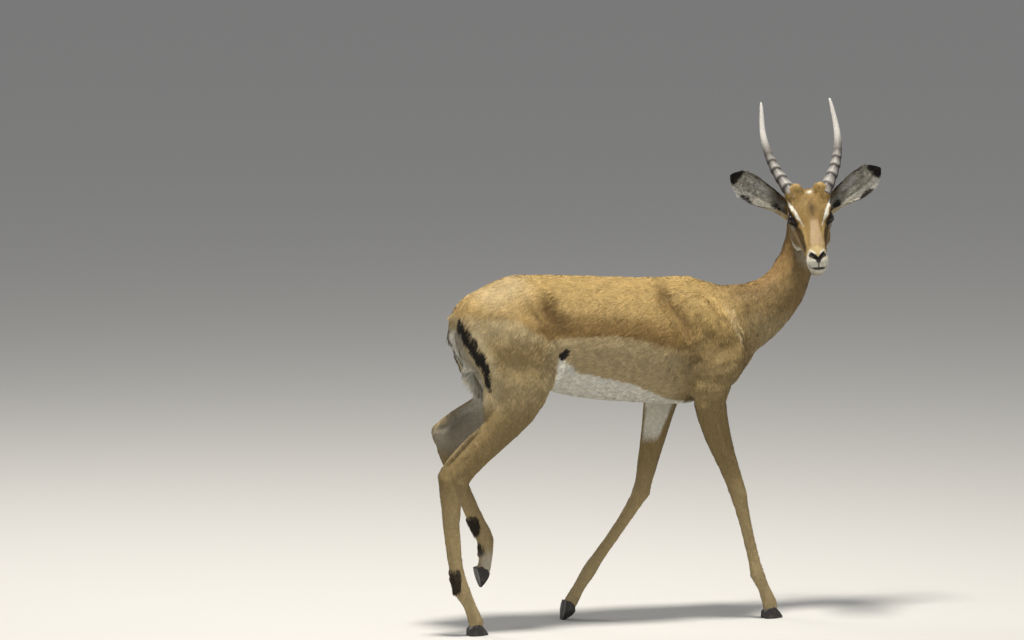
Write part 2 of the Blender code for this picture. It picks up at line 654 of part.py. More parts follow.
def build_ear(name, side):
    """A leaf-shaped cup: a short tube at the root that opens forwards into the blade."""
    root = on_head(EAR_PLACE[0], EAR_PLACE[1], side * EAR_PLACE[2])
    lift = EAR_LIFT[side]
    reach = (LEFT * (side * math.cos(lift)) + UPWARD * math.sin(lift) - LEVEL * 0.05).normalized()
    facing = (LEVEL - reach * LEVEL.dot(reach)).normalized()
    facing = Matrix.Rotation(-side * math.radians(10.0), 3, reach) @ facing
    across = facing.cross(reach).normalized()
    if across.dot(UPWARD) < 0:
        across = -across
    # share of the length, half width, sag of the blade, depth of the cup, curl of the edges, bow
    rows = spline([
        (0.00, 0.0150, 0.0000, 0.0150, 0.95, 0.000),
        (0.12, 0.0160, 0.0005, 0.0165, 0.85, 0.000),
        (0.25, 0.0215, 0.0020, 0.0190, 0.55, -0.001),
        (0.40, 0.0285, 0.0035, 0.0190, 0.30, -0.003),
        (0.58, 0.0330, 0.0030, 0.0160, 0.16, -0.004),
        (0.75, 0.0315, 0.0015, 0.0120, 0.10, -0.004),
        (0.88, 0.0235, 0.0000, 0.0075, 0.06, -0.002),
        (0.96, 0.0125, 0.0000, 0.0040, 0.02, 0.001),
        (1.00, 0.0030, 0.0000, 0.0012, 0.00, 0.003)], 2)
    arc = 7
    work = bmesh.new()
    grid = []
    for share, half_width, sag, depth, curl, bow in rows:
        row = []
        for k in range(arc):
            t = -1.0 + 2.0 * k / (arc - 1)
            bend = math.radians(62 + 95 * curl)
            sideways = math.sin(t * bend) / math.sin(min(bend, math.pi / 2))
            inward = (1.0 - math.cos(t * bend)) / (1.0 - math.cos(bend))
            point = (root + reach * (EAR_LENGTH * share) + across * (sideways * half_width - sag)
                     + facing * (bow + depth * (inward * (0.6 + curl) - 0.75)))
            row.append(work.verts.new(point))
        grid.append(row)
    for a, b in zip(grid, grid[1:]):
        for i in range(arc - 1):
            work.faces.new((a[i], a[i + 1], b[i + 1], b[i]))
    bmesh.ops.recalc_face_normals(work, faces=work.faces)
    made = object_from(work, name)
    wall = made.modifiers.new("Wall", "SOLIDIFY")
    wall.thickness = EAR_WALL
    wall.offset = 0.0
    apply_modifier(made, wall)
    make_triangles(made)
    # the root of the ear is a ball of gristle that sits in the head
    gristle = ball(on_head(EAR_PLACE[0], EAR_PLACE[1], side * (EAR_PLACE[2] + 0.002)),
                   (0.0150, 0.0150, 0.0200))
    boolean(made, gristle, "UNION")
    remove(gristle)
    thin_out(made, EAR_TRIANGLES)
    return made


def build_eye(name, side):
    bpy.ops.mesh.primitive_uv_sphere_add(segments=14, ring_count=9, radius=EYE_RADIUS)
    made = bpy.context.object
    made.name = name
    place = on_head(EYE_PLACE[0], EYE_PLACE[1], side * EYE_PLACE[2])
    for vertex in made.data.vertices:
        vertex.co = vertex.co + place
    return made


def build_hoof(name, toe, pitch, side):
    """One claw: a pointed wedge with a flat sole, which stays above the floor."""
    forward = Vector((1, 0, 0))
    across = Vector((0, 1, 0))
    turn = Matrix.Rotation(pitch, 3, across)
    run = turn @ forward
    rise = turn @ Vector((0, 0, 1))
    # from the toe backwards, height of the wall, share of the claw's width
    profile = [
        (0.000, 0.0040, 0.30), (0.008, 0.0160, 0.62), (0.018, 0.0275, 0.90),
        (0.028, 0.0350, 1.04), (0.041, 0.0310, 1.02), (0.052, 0.0200, 0.80)]
    work = bmesh.new()
    rows = []
    for back, height, share in profile:
        middle = Vector(toe) - run * back
        width = (CLAW_OUTER - CLAW_INNER) * share
        sole_in = middle + across * (side * CLAW_INNER)
        sole_out = middle + across * (side * (CLAW_INNER + width))
        top_out = middle + across * (side * (CLAW_INNER + width * 0.86)) + rise * (height * 0.82)
        top_in = sole_in + rise * height
        rows.append([work.verts.new(p) for p in (sole_in, sole_out, top_out, top_in)])
    for a, b in zip(rows, rows[1:]):
        for i in range(4):
            j = (i + 1) % 4
            work.faces.new((a[i], a[j], b[j], b[i]))
    work.faces.new(list(reversed(rows[0])))
    work.faces.new(rows[-1])
    bmesh.ops.recalc_face_normals(work, faces=work.faces)
    made = object_from(work, name)
    if toe[2] < 0.0:
        keep_side(made, Vector((0, 0, 0)), Vector((0, 0, 1)))
    make_triangles(made)
    return made


def leg_region(name, egg, egg_size, low, high, extra):
    """The space of one leg: an egg round its top, and a block round all below."""
    bpy.ops.mesh.primitive_uv_sphere_add(segments=16, ring_count=10, radius=1.0)
    made = bpy.context.object
    for vertex in made.data.vertices:
        for axis in range(3):
            vertex.co[axis] = egg[axis] + vertex.co[axis] * (egg_size[axis] + extra)
    bpy.ops.mesh.primitive_cube_add(size=1.0)
    block = bpy.context.object
    for vertex in block.data.vertices:
        for axis in range(3):
            half = (high[axis] - low[axis]) / 2 + extra
            middle = (high[axis] + low[axis]) / 2
            vertex.co[axis] = middle + (half if vertex.co[axis] > 0 else -half)
    boolean(made, block, "UNION")
    remove(block)
    made.name = name
    return made


def part_leg(source, name, egg, egg_size, low, high):
    """Take a leg out of the body with a thin cut, and return it."""
    leg = duplicate(source, name)
    inner = leg_region("inner", egg, egg_size, low, high, 0.0)
    outer = leg_region("outer", egg, egg_size, low, high, GAP)
    boolean(leg, inner, "INTERSECT")
    boolean(source, outer, "DIFFERENCE")
    remove(inner)
    remove(outer)
    largest_piece(leg)
    largest_piece(source)
    return leg


def clear_of(target, neighbours, gap=GAP):
    """Cut the neighbours' shape, a little grown, out of the target."""
    for neighbour in neighbours:
        cutter = grown(neighbour, gap, "cutter")
        boolean(target, cutter, "DIFFERENCE")
        remove(cutter)
    largest_piece(target)


# ---- the pieces ----------------------------------------------------------------------------------

def build_flesh():
    """The body as one form, parted with thin cuts into trunk, neck, head and the legs' pieces."""
    forms = build_body_forms()
    head_form = build_head()
    neck_copy = duplicate(forms[1], "neck_copy")

    trunk = join("trunk", forms + [duplicate(head_form, "head_copy")])
    fuse(trunk, BODY_VOXEL)
    soften(trunk, 4)
    soften(trunk, 16, lambda p: min(max((p.z - 0.56) / 0.10, 0.0), 1.0))
    thin_out(trunk, BODY_TRIANGLES)
    neck = cut_pair(trunk, *NECK_CUT, "neck")

    head = join("head", [head_form, neck_copy])
    fuse(head, HEAD_VOXEL)
    soften(head, 5)
    thin_out(head, HEAD_TRIANGLES)
    nape = Vector(NAPE_CUT[0])
    normal = Vector(NAPE_CUT[1]).normalized()
    keep_side(head, nape + normal * (GAP / 2), normal)
    keep_side(neck, nape - normal * (GAP / 2), -normal)

    flesh = {"trunk": trunk, "neck": neck, "head": head}
    for name, space in LEG_SPACES.items():
        flesh[name] = part_leg(trunk, name, *space)
    for above, below, point, down in LEG_CUTS:
        flesh[below] = cut_pair(flesh[above], point, down, below)
    return flesh


def build_hooves(flesh):
    """Two claws for each foot, let into the flesh of the leg."""
    hooves = []
    for word, (toe, pitch) in FEET.items():
        outward = -1 if toe[1] < 0 else 1
        pair = []
        for side, claw in ((outward, "outer"), (-outward, "inner")):
            pair.append(build_hoof("hoof_" + word + "_" + claw, toe, math.radians(pitch), side))
        clear_of(flesh["cannon_" + word], pair)
        hooves += pair
    return hooves


def stand_at_origin(nodes):
    """Move the whole animal so that the middle of its box's floor is the origin."""
    corners = np.array([vertex.co for node in nodes for vertex in node.data.vertices])
    low = corners.min(axis=0)
    high = corners.max(axis=0)
    shift = Vector((-(low[0] + high[0]) / 2, -(low[1] + high[1]) / 2, -low[2]))
    for node in nodes:
        for vertex in node.data.vertices:
            vertex.co += shift
    print("length, width, height", high - low, "moved by", shift)


def build_impala():
    clear_scene()
    collection = bpy.data.collections.new(OBJECT_NAME)
    bpy.context.scene.collection.children.link(collection)

    flesh = build_flesh()
    tail = build_tail()
    clear_of(flesh["trunk"], [tail], TAIL_GAP)
    hooves = build_hooves(flesh)

    head_pieces = []
    for side, word in ((-1, "right"), (1, "left")):
        eye = build_eye("eye_" + word, side)
        horn = build_horn("horn_" + word, side)
        ear = build_ear("ear_" + word, side)
        clear_of(ear, [eye, flesh["head"]])
        clear_of(flesh["head"], [horn, eye])
        head_pieces += [horn, ear, eye]

    nodes = list(flesh.values()) + [tail] + hooves + head_pieces
    stand_at_origin(nodes)
    for node in nodes:
        finish_piece(node, collection)
    return nodes


build_impala()
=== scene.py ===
import math

import bmesh
import bpy
import numpy as np
from mathutils import Matrix, Vector
from mathutils.bvhtree import BVHTree


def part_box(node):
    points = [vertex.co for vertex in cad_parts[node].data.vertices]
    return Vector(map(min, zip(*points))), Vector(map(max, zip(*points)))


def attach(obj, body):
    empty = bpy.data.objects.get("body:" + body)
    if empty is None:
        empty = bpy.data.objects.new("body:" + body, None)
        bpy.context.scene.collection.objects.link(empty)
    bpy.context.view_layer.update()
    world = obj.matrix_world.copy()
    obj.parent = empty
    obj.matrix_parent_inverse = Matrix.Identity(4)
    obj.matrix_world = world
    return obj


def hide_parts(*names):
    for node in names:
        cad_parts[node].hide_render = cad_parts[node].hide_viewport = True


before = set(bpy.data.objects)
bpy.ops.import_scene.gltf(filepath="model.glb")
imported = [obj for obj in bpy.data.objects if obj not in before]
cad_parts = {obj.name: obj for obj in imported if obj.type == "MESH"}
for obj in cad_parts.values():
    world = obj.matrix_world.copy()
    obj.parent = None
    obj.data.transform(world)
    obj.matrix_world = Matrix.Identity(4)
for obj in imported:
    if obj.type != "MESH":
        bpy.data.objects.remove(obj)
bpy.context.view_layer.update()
bpy.ops.object.select_all(action="DESELECT")
print("frame loaded")

# places on the body are in metres from one point on the floor under the chest: forwards, to the left, up
# places on the head are along the face from the crown, out of the forehead, to its left
headSettings = {"heading": -108.0, "pitch": 41.5, "roll": 3.5, "eye": (0.058, -0.029, 0.0390),
                "eyeRadius": 0.0175, "crown": (0.534, -0.079, 1.071)}


def middleOf(node):
    low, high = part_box(node)
    return (Vector(low) + Vector(high)) / 2


def headAxes(settings):
    heading = math.radians(settings["heading"])
    pitch = math.radians(settings["pitch"])
    level = Vector((math.cos(heading), math.sin(heading), 0))
    up = Vector((0, 0, 1))
    left = up.cross(level)
    roll = Matrix.Rotation(math.radians(settings["roll"]), 3, level)
    left = roll @ left
    up = roll @ up
    along = level * math.cos(pitch) - up * math.sin(pitch)
    brow = level * math.sin(pitch) + up * math.cos(pitch)
    return level, up, along, brow, left


levelWay, upWay, alongWay, browWay, leftWay = headAxes(headSettings)
eyeAlong, eyeDepth, eyeSide = headSettings["eye"]
crown = (middleOf("eye_right") + middleOf("eye_left")) / 2 - alongWay * eyeAlong - browWay * eyeDepth
stand = crown - Vector(headSettings["crown"])
headMatrix = np.array([alongWay, browWay, leftWay])
standPoint = np.array(stand)
crownPoint = np.array(crown)


def onHead(along, depth, side):
    return crown + alongWay * along + browWay * depth + leftWay * side


def toWalk(points):
    return points - standPoint


def toHead(points):
    return (points - crownPoint) @ headMatrix.T


def ramp(values, low, high):
    t = np.clip((values - low) / (high - low), 0.0, 1.0)
    return t * t * (3.0 - 2.0 * t)


def bell(distance, width):
    return np.exp(-(distance / width) ** 2)


def alongSegment(points, start, end):
    start = np.array(start, float)
    run = np.array(end, float) - start
    share = np.clip(((points - start) @ run) / (run @ run), 0.0, 1.0)
    return share, np.linalg.norm(points - (start + share[:, None] * run), axis=1)


def segmentDistance(points, start, end):
    return alongSegment(points, start, end)[1]


def lineDistance(points, stops):
    nearest = np.full(len(points), 9.0)
    for start, end in zip(stops, stops[1:]):
        nearest = np.minimum(nearest, segmentDistance(points, start, end))
    return nearest


def mirrored(points):
    turned = points.copy()
    turned[:, 1] = -np.abs(turned[:, 1])
    return turned


def mirroredHead(points):
    turned = points.copy()
    turned[:, 2] = np.abs(turned[:, 2])
    return turned


def ripple(points, size, seed):
    generator = np.random.default_rng(seed)
    total = np.zeros(len(points))
    for _ in range(7):
        way = generator.normal(size=3)
        way *= 2 * math.pi / size * generator.uniform(0.6, 1.7) / np.linalg.norm(way)
        total += np.sin(points @ way + generator.uniform(0, 2 * math.pi))
    return total / 3.0


def curveThrough(rows, steps):
    rows = np.array(rows, float)
    last = len(rows) - 1
    run = []
    for i in range(last):
        before = rows[max(i - 1, 0)]
        start = rows[i]
        end = rows[i + 1]
        after = rows[min(i + 2, last)]
        for step in range(steps):
            t = step / steps
            run.append((2 * t ** 3 - 3 * t ** 2 + 1) * start + (t ** 3 - 2 * t ** 2 + t) * (end - before) / 2
                       + (3 * t ** 2 - 2 * t ** 3) * end + (t ** 3 - t ** 2) * (after - start) / 2)
    run.append(rows[last])
    return np.array(run)


def unit(vectors):
    return vectors / np.maximum(np.linalg.norm(vectors, axis=-1, keepdims=True), 1e-9)


def meshFromArrays(name, points, faces):
    mesh = bpy.data.meshes.new(name)
    mesh.vertices.add(len(points))
    mesh.vertices.foreach_set("co", np.asarray(points, np.float32).ravel())
    corners = faces.shape[1]
    mesh.loops.add(faces.size)
    mesh.loops.foreach_set("vertex_index", faces.astype(np.int32).ravel())
    mesh.polygons.add(len(faces))
    mesh.polygons.foreach_set("loop_start", np.arange(0, faces.size, corners, dtype=np.int32))
    mesh.update(calc_edges=True)
    mesh.validate()
    mesh.shade_smooth()
    made = bpy.data.objects.new(name, mesh)
    bpy.context.scene.collection.objects.link(made)
    return made


def setColours(target, colours, name="coatColour"):
    old = target.data.color_attributes.get(name)
    if old:
        target.data.color_attributes.remove(old)
    layer = target.data.color_attributes.new(name, "FLOAT_COLOR", "POINT")
    full = np.ones((len(colours), 4), np.float32)
    full[:, :3] = colours
    layer.data.foreach_set("color", full.ravel())


def pointsOf(target):
    points = np.empty(len(target.data.vertices) * 3, np.float32)
    target.data.vertices.foreach_get("co", points)
    return points.reshape(-1, 3).astype(float)


def normalsOf(target):
    normals = np.empty(len(target.data.vertices) * 3, np.float32)
    target.data.vertex_normals.foreach_get("vector", normals)
    return normals.reshape(-1, 3).astype(float)


def putPoints(target, points):
    target.data.vertices.foreach_set("co", points.astype(np.float32).ravel())
    target.data.update()


def pick(target):
    bpy.ops.object.select_all(action="DESELECT")
    target.select_set(True)
    bpy.context.view_layer.objects.active = target


def applyModifier(target, modifier):
    pick(target)
    bpy.ops.object.modifier_apply(modifier=modifier.name)


# finishes

def unwrap(target):
    pick(target)
    bpy.ops.object.mode_set(mode="EDIT")
    bpy.ops.mesh.select_all(action="SELECT")
    bpy.ops.uv.smart_project(angle_limit=math.radians(66), island_margin=0.004, area_weight=0.0)
    bpy.ops.object.mode_set(mode="OBJECT")
    target.data.uv_layers[0].name = "OFBake"


def nodeGroup(name, inputs, outputs):
    group = bpy.data.node_groups.new(name, "ShaderNodeTree")
    for kind, label, default in inputs:
        socket = group.interface.new_socket(label, in_out="INPUT", socket_type=kind)
        socket.default_value = default
    for kind, label in outputs:
        group.interface.new_socket(label, in_out="OUTPUT", socket_type=kind)
    return group, group.nodes.new("NodeGroupInput"), group.nodes.new("NodeGroupOutput")


def addNoise(nodes, links, vector, scale, detail):
    noise = nodes.new("ShaderNodeTexNoise")
    noise.inputs["Scale"].default_value = scale
    noise.inputs["Detail"].default_value = detail
    links.new(vector, noise.inputs["Vector"])
    return noise.outputs["Fac"]


def addStretch(nodes, links, scale):
    place = nodes.new("ShaderNodeTexCoord")
    stretch = nodes.new("ShaderNodeMapping")
    stretch.inputs["Scale"].default_value = scale
    links.new(place.outputs["Object"], stretch.inputs["Vector"])
    return place.outputs["Object"], stretch.outputs["Vector"]


def addBump(nodes, links, shader, height, strength, distance):
    bump = nodes.new("ShaderNodeBump")
    bump.inputs["Strength"].default_value = strength
    bump.inputs["Distance"].default_value = distance
    links.new(height, bump.inputs["Height"])
    links.new(bump.outputs["Normal"], shader.inputs["Normal"])


def addAttribute(nodes, name):
    colour = nodes.new("ShaderNodeAttribute")
    colour.attribute_name = name
    return colour.outputs["Color"]


def addShift(nodes, links, value, amount):
    # (value - a half) times amount, plus what the last socket holds
    centred = nodes.new("ShaderNodeMath")
    centred.operation = "SUBTRACT"
    centred.inputs[1].default_value = 0.5
    shift = nodes.new("ShaderNodeMath")
    shift.operation = "MULTIPLY_ADD"
    shift.inputs[2].default_value = 1.0
    links.new(value, centred.inputs[0])
    links.new(centred.outputs[0], shift.inputs[0])
    links.new(amount, shift.inputs[1])
    return shift


def makeHairGrain():
    group, source, result = nodeGroup(
        "hairGrain",
        [("NodeSocketColor", "Colour", (0.5, 0.4, 0.3, 1)), ("NodeSocketFloat", "Size", 900.0),
         ("NodeSocketFloat", "Contrast", 0.2), ("NodeSocketFloat", "Blotch", 0.1)],
        [("NodeSocketColor", "Colour"), ("NodeSocketFloat", "Height")])
    nodes = group.nodes
    links = group.links
    place = nodes.new("ShaderNodeTexCoord").outputs["Object"]
    fine = addNoise(nodes, links, place, 1.0, 3.0)
    links.new(source.outputs["Size"], fine.node.inputs["Scale"])
    broad = addNoise(nodes, links, place, 26.0, 4.0)
    fineShift = addShift(nodes, links, fine, source.outputs["Contrast"])
    broadShift = addShift(nodes, links, broad, source.outputs["Blotch"])
    links.new(fineShift.outputs[0], broadShift.inputs[2])
    tint = nodes.new("ShaderNodeVectorMath")
    tint.operation = "SCALE"
    links.new(source.outputs["Colour"], tint.inputs[0])
    links.new(broadShift.outputs[0], tint.inputs["Scale"])
    links.new(tint.outputs[0], result.inputs["Colour"])
    links.new(fine, result.inputs["Height"])
    return group


def newMaterial(name, settings):
    material = bpy.data.materials.new(name)
    material.use_nodes = True
    shader = material.node_tree.nodes["Principled BSDF"]
    for socket, value in settings.items():
        shader.inputs[socket].default_value = value
    return material, material.node_tree.nodes, material.node_tree.links, shader


def coatMaterial(name, grain, settings):
    material, nodes, links, shader = newMaterial(name, {
        "Roughness": settings["roughness"], "Specular IOR Level": settings["specular"],
        "Sheen Weight": settings["sheen"], "Sheen Roughness": 0.45})
    hair = nodes.new("ShaderNodeGroup")
    hair.node_tree = grain
    hair.inputs["Size"].default_value = settings["grainSize"]
    hair.inputs["Contrast"].default_value = settings["contrast"]
    hair.inputs["Blotch"].default_value = settings["blotch"]
    links.new(addAttribute(nodes, "coatColour"), hair.inputs["Colour"])
    links.new(hair.outputs["Colour"], shader.inputs["Base Color"])
    addBump(nodes, links, shader, hair.outputs["Height"], settings["bump"], 0.0006)
    return material


hairGrain = makeHairGrain()
skinMaterial = coatMaterial("shortFur", hairGrain, {
    "roughness": 0.75, "specular": 0.20, "sheen": 0.03, "grainSize": 700.0, "contrast": 0.35, "blotch": 0.22,
    "bump": 0.5})
tuftMaterial = coatMaterial("furTufts", hairGrain, {
    "roughness": 0.62, "specular": 0.22, "sheen": 0.03, "grainSize": 420.0, "contrast": 0.22, "blotch": 0.22,
    "bump": 0.15})
print("finishes made")

# one skin from the solids of flesh

fleshNodes = ["trunk", "neck", "head", "tail", "foreleg_right", "foreleg_left", "cannon_fore_right",
              "cannon_fore_left", "thigh_right", "thigh_left", "shank_right", "shank_left",
              "cannon_hind_right", "cannon_hind_left"]
clawNodes = ["hoof_" + end + "_" + half + "_" + claw for end in ("fore", "hind")
             for half in ("right", "left") for claw in ("outer", "inner")]
skinSettings = {"hornSeat": (((-0.0100, -0.0065, 0.0305), 0.0215), ((-0.005, -0.0105, 0.0400), 0.0195),
                             ((-0.006, -0.015, 0.0210), 0.0190), ((0.009, -0.0175, 0.0310), 0.0235),
                             ((0.022, -0.0240, 0.0300), 0.0250)),
                "overlap": 0.0008, "clawInset": 0.0004, "voxel": 0.0051, "bodyRounds": 52, "headRounds": 15,
                "calm": 0.72, "shade": 0.86,
                "bodyDepth": 0.0030, "legDepth": 0.0018, "faceDepth": 0.0012}


def copyOf(node, name, grow):
    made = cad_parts[node].copy()
    made.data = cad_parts[node].data.copy()
    made.name = name
    made.hide_render = False
    bpy.context.scene.collection.objects.link(made)
    work = bmesh.new()
    work.from_mesh(made.data)
    bmesh.ops.remove_doubles(work, verts=work.verts, dist=1e-6)
    work.normal_update()
    for vertex in work.verts:
        vertex.co = vertex.co + vertex.normal * grow
    work.to_mesh(made.data)
    work.free()
    made.parent = None
    made.matrix_world = Matrix.Identity(4)
    made.data.materials.clear()
    return made


def headBall(place, radius):
    bpy.ops.mesh.primitive_ico_sphere_add(subdivisions=4, radius=radius, location=onHead(*place))
    made = bpy.context.object
    made.data.transform(made.matrix_world)
    made.matrix_world = Matrix.Identity(4)
    return made


def neighbourAverage(values, edges, degree):
    total = np.zeros_like(values)
    for axis in range(values.shape[1]):
        total[:, axis] = (np.bincount(edges[:, 0], values[edges[:, 1], axis], len(values))
                          + np.bincount(edges[:, 1], values[edges[:, 0], axis], len(values)))
    return total / degree[:, None]


def edgesOf(target):
    edges = np.empty(len(target.data.edges) * 2, np.int32)
    target.data.edges.foreach_get("vertices", edges)
    edges = edges.reshape(-1, 2)
    degree = np.bincount(edges.ravel(), minlength=len(target.data.vertices)).astype(float)
    return edges, np.maximum(degree, 1.0)


def evenOut(target, rounds, weight):
    points = pointsOf(target)
    edges, degree = edgesOf(target)
    weight = weight[:, None]
    for _ in range(rounds):
        points += 0.55 * weight * (neighbourAverage(points, edges, degree) - points)
        points -= 0.57 * weight * (neighbourAverage(points, edges, degree) - points)
    putPoints(target, points)


def headShareOf(walk):
    across = (walk - np.array((0.548, 0.0, 1.0))) @ np.array((0.20, -0.90, 0.38))
    return ramp(across, -0.012, 0.020) * ramp(walk[:, 2], 0.86, 0.90)


def legShareOf(walk):
    top = np.where(walk[:, 0] > 0.05, 0.56, 0.58)
    return ramp(top - walk[:, 2], -0.03, 0.05)


def neckAlong(walk):
    return (walk - np.array((0.372, 0, 0.745))) @ np.array((0.88, 0, 0.47))


def sidePlane(walk):
    return walk * (1, 0, 1)


def refine(target, chosen):
    work = bmesh.new()
    work.from_mesh(target.data)
    work.verts.ensure_lookup_table()
    inside = set(np.nonzero(chosen)[0].tolist())
    edges = [edge for edge in work.edges if edge.verts[0].index in inside and edge.verts[1].index in inside]
    bmesh.ops.subdivide_edges(work, edges=edges, cuts=1, use_grid_fill=True)
    bmesh.ops.triangulate(work, faces=[face for face in work.faces if len(face.verts) > 4])
    work.to_mesh(target.data)
    work.free()
    target.data.update()


def buildSkin(settings):
    pieces = [copyOf(node, "flesh_" + node, settings["overlap"]) for node in fleshNodes]
    pieces += [copyOf(node, "core_" + node, -settings["clawInset"]) for node in clawNodes]
    for side in (-1, 1):
        pieces.append(headBall((eyeAlong, eyeDepth, side * eyeSide), headSettings["eyeRadius"]))
        # the haired seat of each horn, a broad low dome that runs out into the forehead
        for place, radius in settings["hornSeat"]:
            pieces.append(headBall((place[0], place[1], side * place[2]), radius))
    bpy.ops.object.select_all(action="DESELECT")
    for piece in pieces:
        piece.select_set(True)
    bpy.context.view_layer.objects.active = pieces[0]
    bpy.ops.object.join()
    made = bpy.context.object
    made.name = "skin"
    made.data.name = "skin"
    remesh = made.modifiers.new("Fuse", "REMESH")
    remesh.mode = "VOXEL"
    remesh.voxel_size = settings["voxel"]
    applyModifier(made, remesh)
    work = bmesh.new()
    work.from_mesh(made.data)
    keepLargest(work)
    work.to_mesh(made.data)
    work.free()
    walk = toWalk(pointsOf(made))
    # legs and head are smoothed less than the trunk
    slender = legShareOf(walk) + headShareOf(walk)
    evenOut(made, settings["bodyRounds"], np.clip(1.0 - settings["calm"] * slender, 0.1, 1.0))
    head = toHead(pointsOf(made))
    refine(made, (headShareOf(toWalk(pointsOf(made))) > 0.02) & (head[:, 0] > -0.08))
    walk = toWalk(pointsOf(made))
    evenOut(made, settings["headRounds"], headShareOf(walk))
    points = pointsOf(made)
    depth = coatDepth(toWalk(points), settings)
    putPoints(made, points - normalsOf(made) * (depth + settings["overlap"])[:, None])
    return made


def keepLargest(work):
    work.faces.ensure_lookup_table()
    seen = np.zeros(len(work.faces), bool)
    groups = []
    for face in work.faces:
        if seen[face.index]:
            continue
        seen[face.index] = True
        group = []
        stack = [face]
        while stack:
            current = stack.pop()
            group.append(current)
            for edge in current.edges:
                for other in edge.link_faces:
                    if not seen[other.index]:
                        seen[other.index] = True
                        stack.append(other)
        groups.append(group)
    groups.sort(key=len)
    for group in groups[:-1]:
        bmesh.ops.delete(work, geom=group, context="FACES")


def coatDepth(walk, settings):
    depth = np.full(len(walk), settings["bodyDepth"])
    depth += (settings["legDepth"] - depth) * legShareOf(walk)
    depth += (settings["faceDepth"] - depth) * headShareOf(walk)
    return depth


# relief of muscle and bone: start and end (forwards, up), half width, height; the same on both sides
bodyRelief = [
    ((-0.172, 0.820), (-0.121, 0.724), 0.032, -0.0115),     # hollow in front of the hip
    ((-0.236, 0.850), (-0.166, 0.735), 0.018, 0.0070),      # hip bone
    ((0.142, 0.848), (0.207, 0.735), 0.018, -0.0135),       # behind the shoulder blade
    ((0.190, 0.850), (0.285, 0.716), 0.018, 0.0050),        # ridge of the shoulder blade
    ((0.196, 0.640), (0.236, 0.676), 0.014, -0.0050),       # shoulder joint
    ((0.318, 0.690), (0.305, 0.640), 0.011, -0.0040),
    ((0.268, 0.690), (0.262, 0.670), 0.018, 0.0045),
    ((0.351, 0.712), (0.345, 0.690), 0.022, 0.0060),        # point of the shoulder
    ((0.245, 0.662), (0.225, 0.640), 0.026, 0.0065),        # upper arm
    ((0.190, 0.628), (0.290, 0.602), 0.014, -0.0035),
    ((0.152, 0.675), (0.200, 0.580), 0.013, -0.0085),       # edge of the arm against the chest
    ((0.372, 0.800), (0.392, 0.705), 0.012, -0.0060),       # root of the neck
    ((0.318, 0.797), (0.351, 0.702), 0.009, 0.0045),
    ((-0.335, 0.600), (-0.318, 0.690), 0.012, -0.0042),     # between ham and thigh
    ((-0.192, 0.600), (-0.196, 0.585), 0.018, 0.0045),      # stifle
    ((-0.300, 0.800), (-0.260, 0.760), 0.030, 0.0040),      # thigh muscle under the hip
    ((-0.285, 0.700), (-0.250, 0.620), 0.020, -0.0035),
    ((-0.140, 0.690), (-0.166, 0.610), 0.010, -0.0065),     # fold of the flank
    ((0.110, 0.800), (0.130, 0.640), 0.007, -0.0018),       # ribs
    ((0.075, 0.800), (0.095, 0.630), 0.007, -0.0019),
    ((0.040, 0.800), (0.058, 0.630), 0.007, -0.0019),
    ((0.005, 0.795), (0.020, 0.635), 0.007, -0.0016),
    ((-0.030, 0.790), (-0.018, 0.650), 0.007, -0.0012)]

# legs, with their own places across
legRelief = [
    ((-0.352, -0.100, 0.522), (-0.440, -0.100, 0.430), 0.0062, -0.0050),    # in front of the heel tendon
    ((-0.330, -0.110, 0.580), (-0.352, -0.100, 0.522), 0.0090, -0.0040),
    ((-0.372, -0.100, 0.486), (-0.366, -0.100, 0.425), 0.0045, 0.0026),     # vein over the shank
    ((-0.420, -0.100, 0.388), (-0.390, -0.100, 0.372), 0.0080, 0.0028),     # bones of the hock
    ((-0.436, -0.100, 0.400), (-0.420, -0.100, 0.350), 0.0060, -0.0026),
    ((-0.392, -0.100, 0.396), (-0.405, -0.100, 0.350), 0.0045, -0.0022),
    ((-0.300, -0.110, 0.500), (-0.372, -0.100, 0.420), 0.0090, 0.0026),
    ((0.270, -0.110, 0.540), (0.310, -0.100, 0.420), 0.0070, -0.0040),      # between muscles of the forearm
    ((0.310, -0.100, 0.520), (0.345, -0.095, 0.400), 0.0060, -0.0030),
    ((-0.300, 0.086, 0.560), (-0.396, 0.085, 0.500), 0.0070, -0.0050),
    ((-0.426, -0.080, 0.300), (-0.414, -0.080, 0.170), 0.0040, -0.0016),    # between bone and tendons
    ((-0.352, 0.085, 0.355), (-0.300, 0.085, 0.262), 0.0040, -0.0014),
    ((0.352, -0.078, 0.260), (0.385, -0.078, 0.145), 0.0040, -0.0014),
    ((0.118, 0.088, 0.262), (0.035, 0.088, 0.150), 0.0040, -0.0014),
    ((0.362, -0.078, 0.318), (0.360, -0.078, 0.312), 0.0100, 0.0020),       # knees
    ((0.166, 0.088, 0.312), (0.163, 0.088, 0.306), 0.0100, 0.0020),
    ((0.325, -0.078, 0.302), (0.327, -0.078, 0.298), 0.0080, 0.0016),
    ((0.300, -0.080, 0.470), (0.330, -0.079, 0.350), 0.0060, -0.0015)]

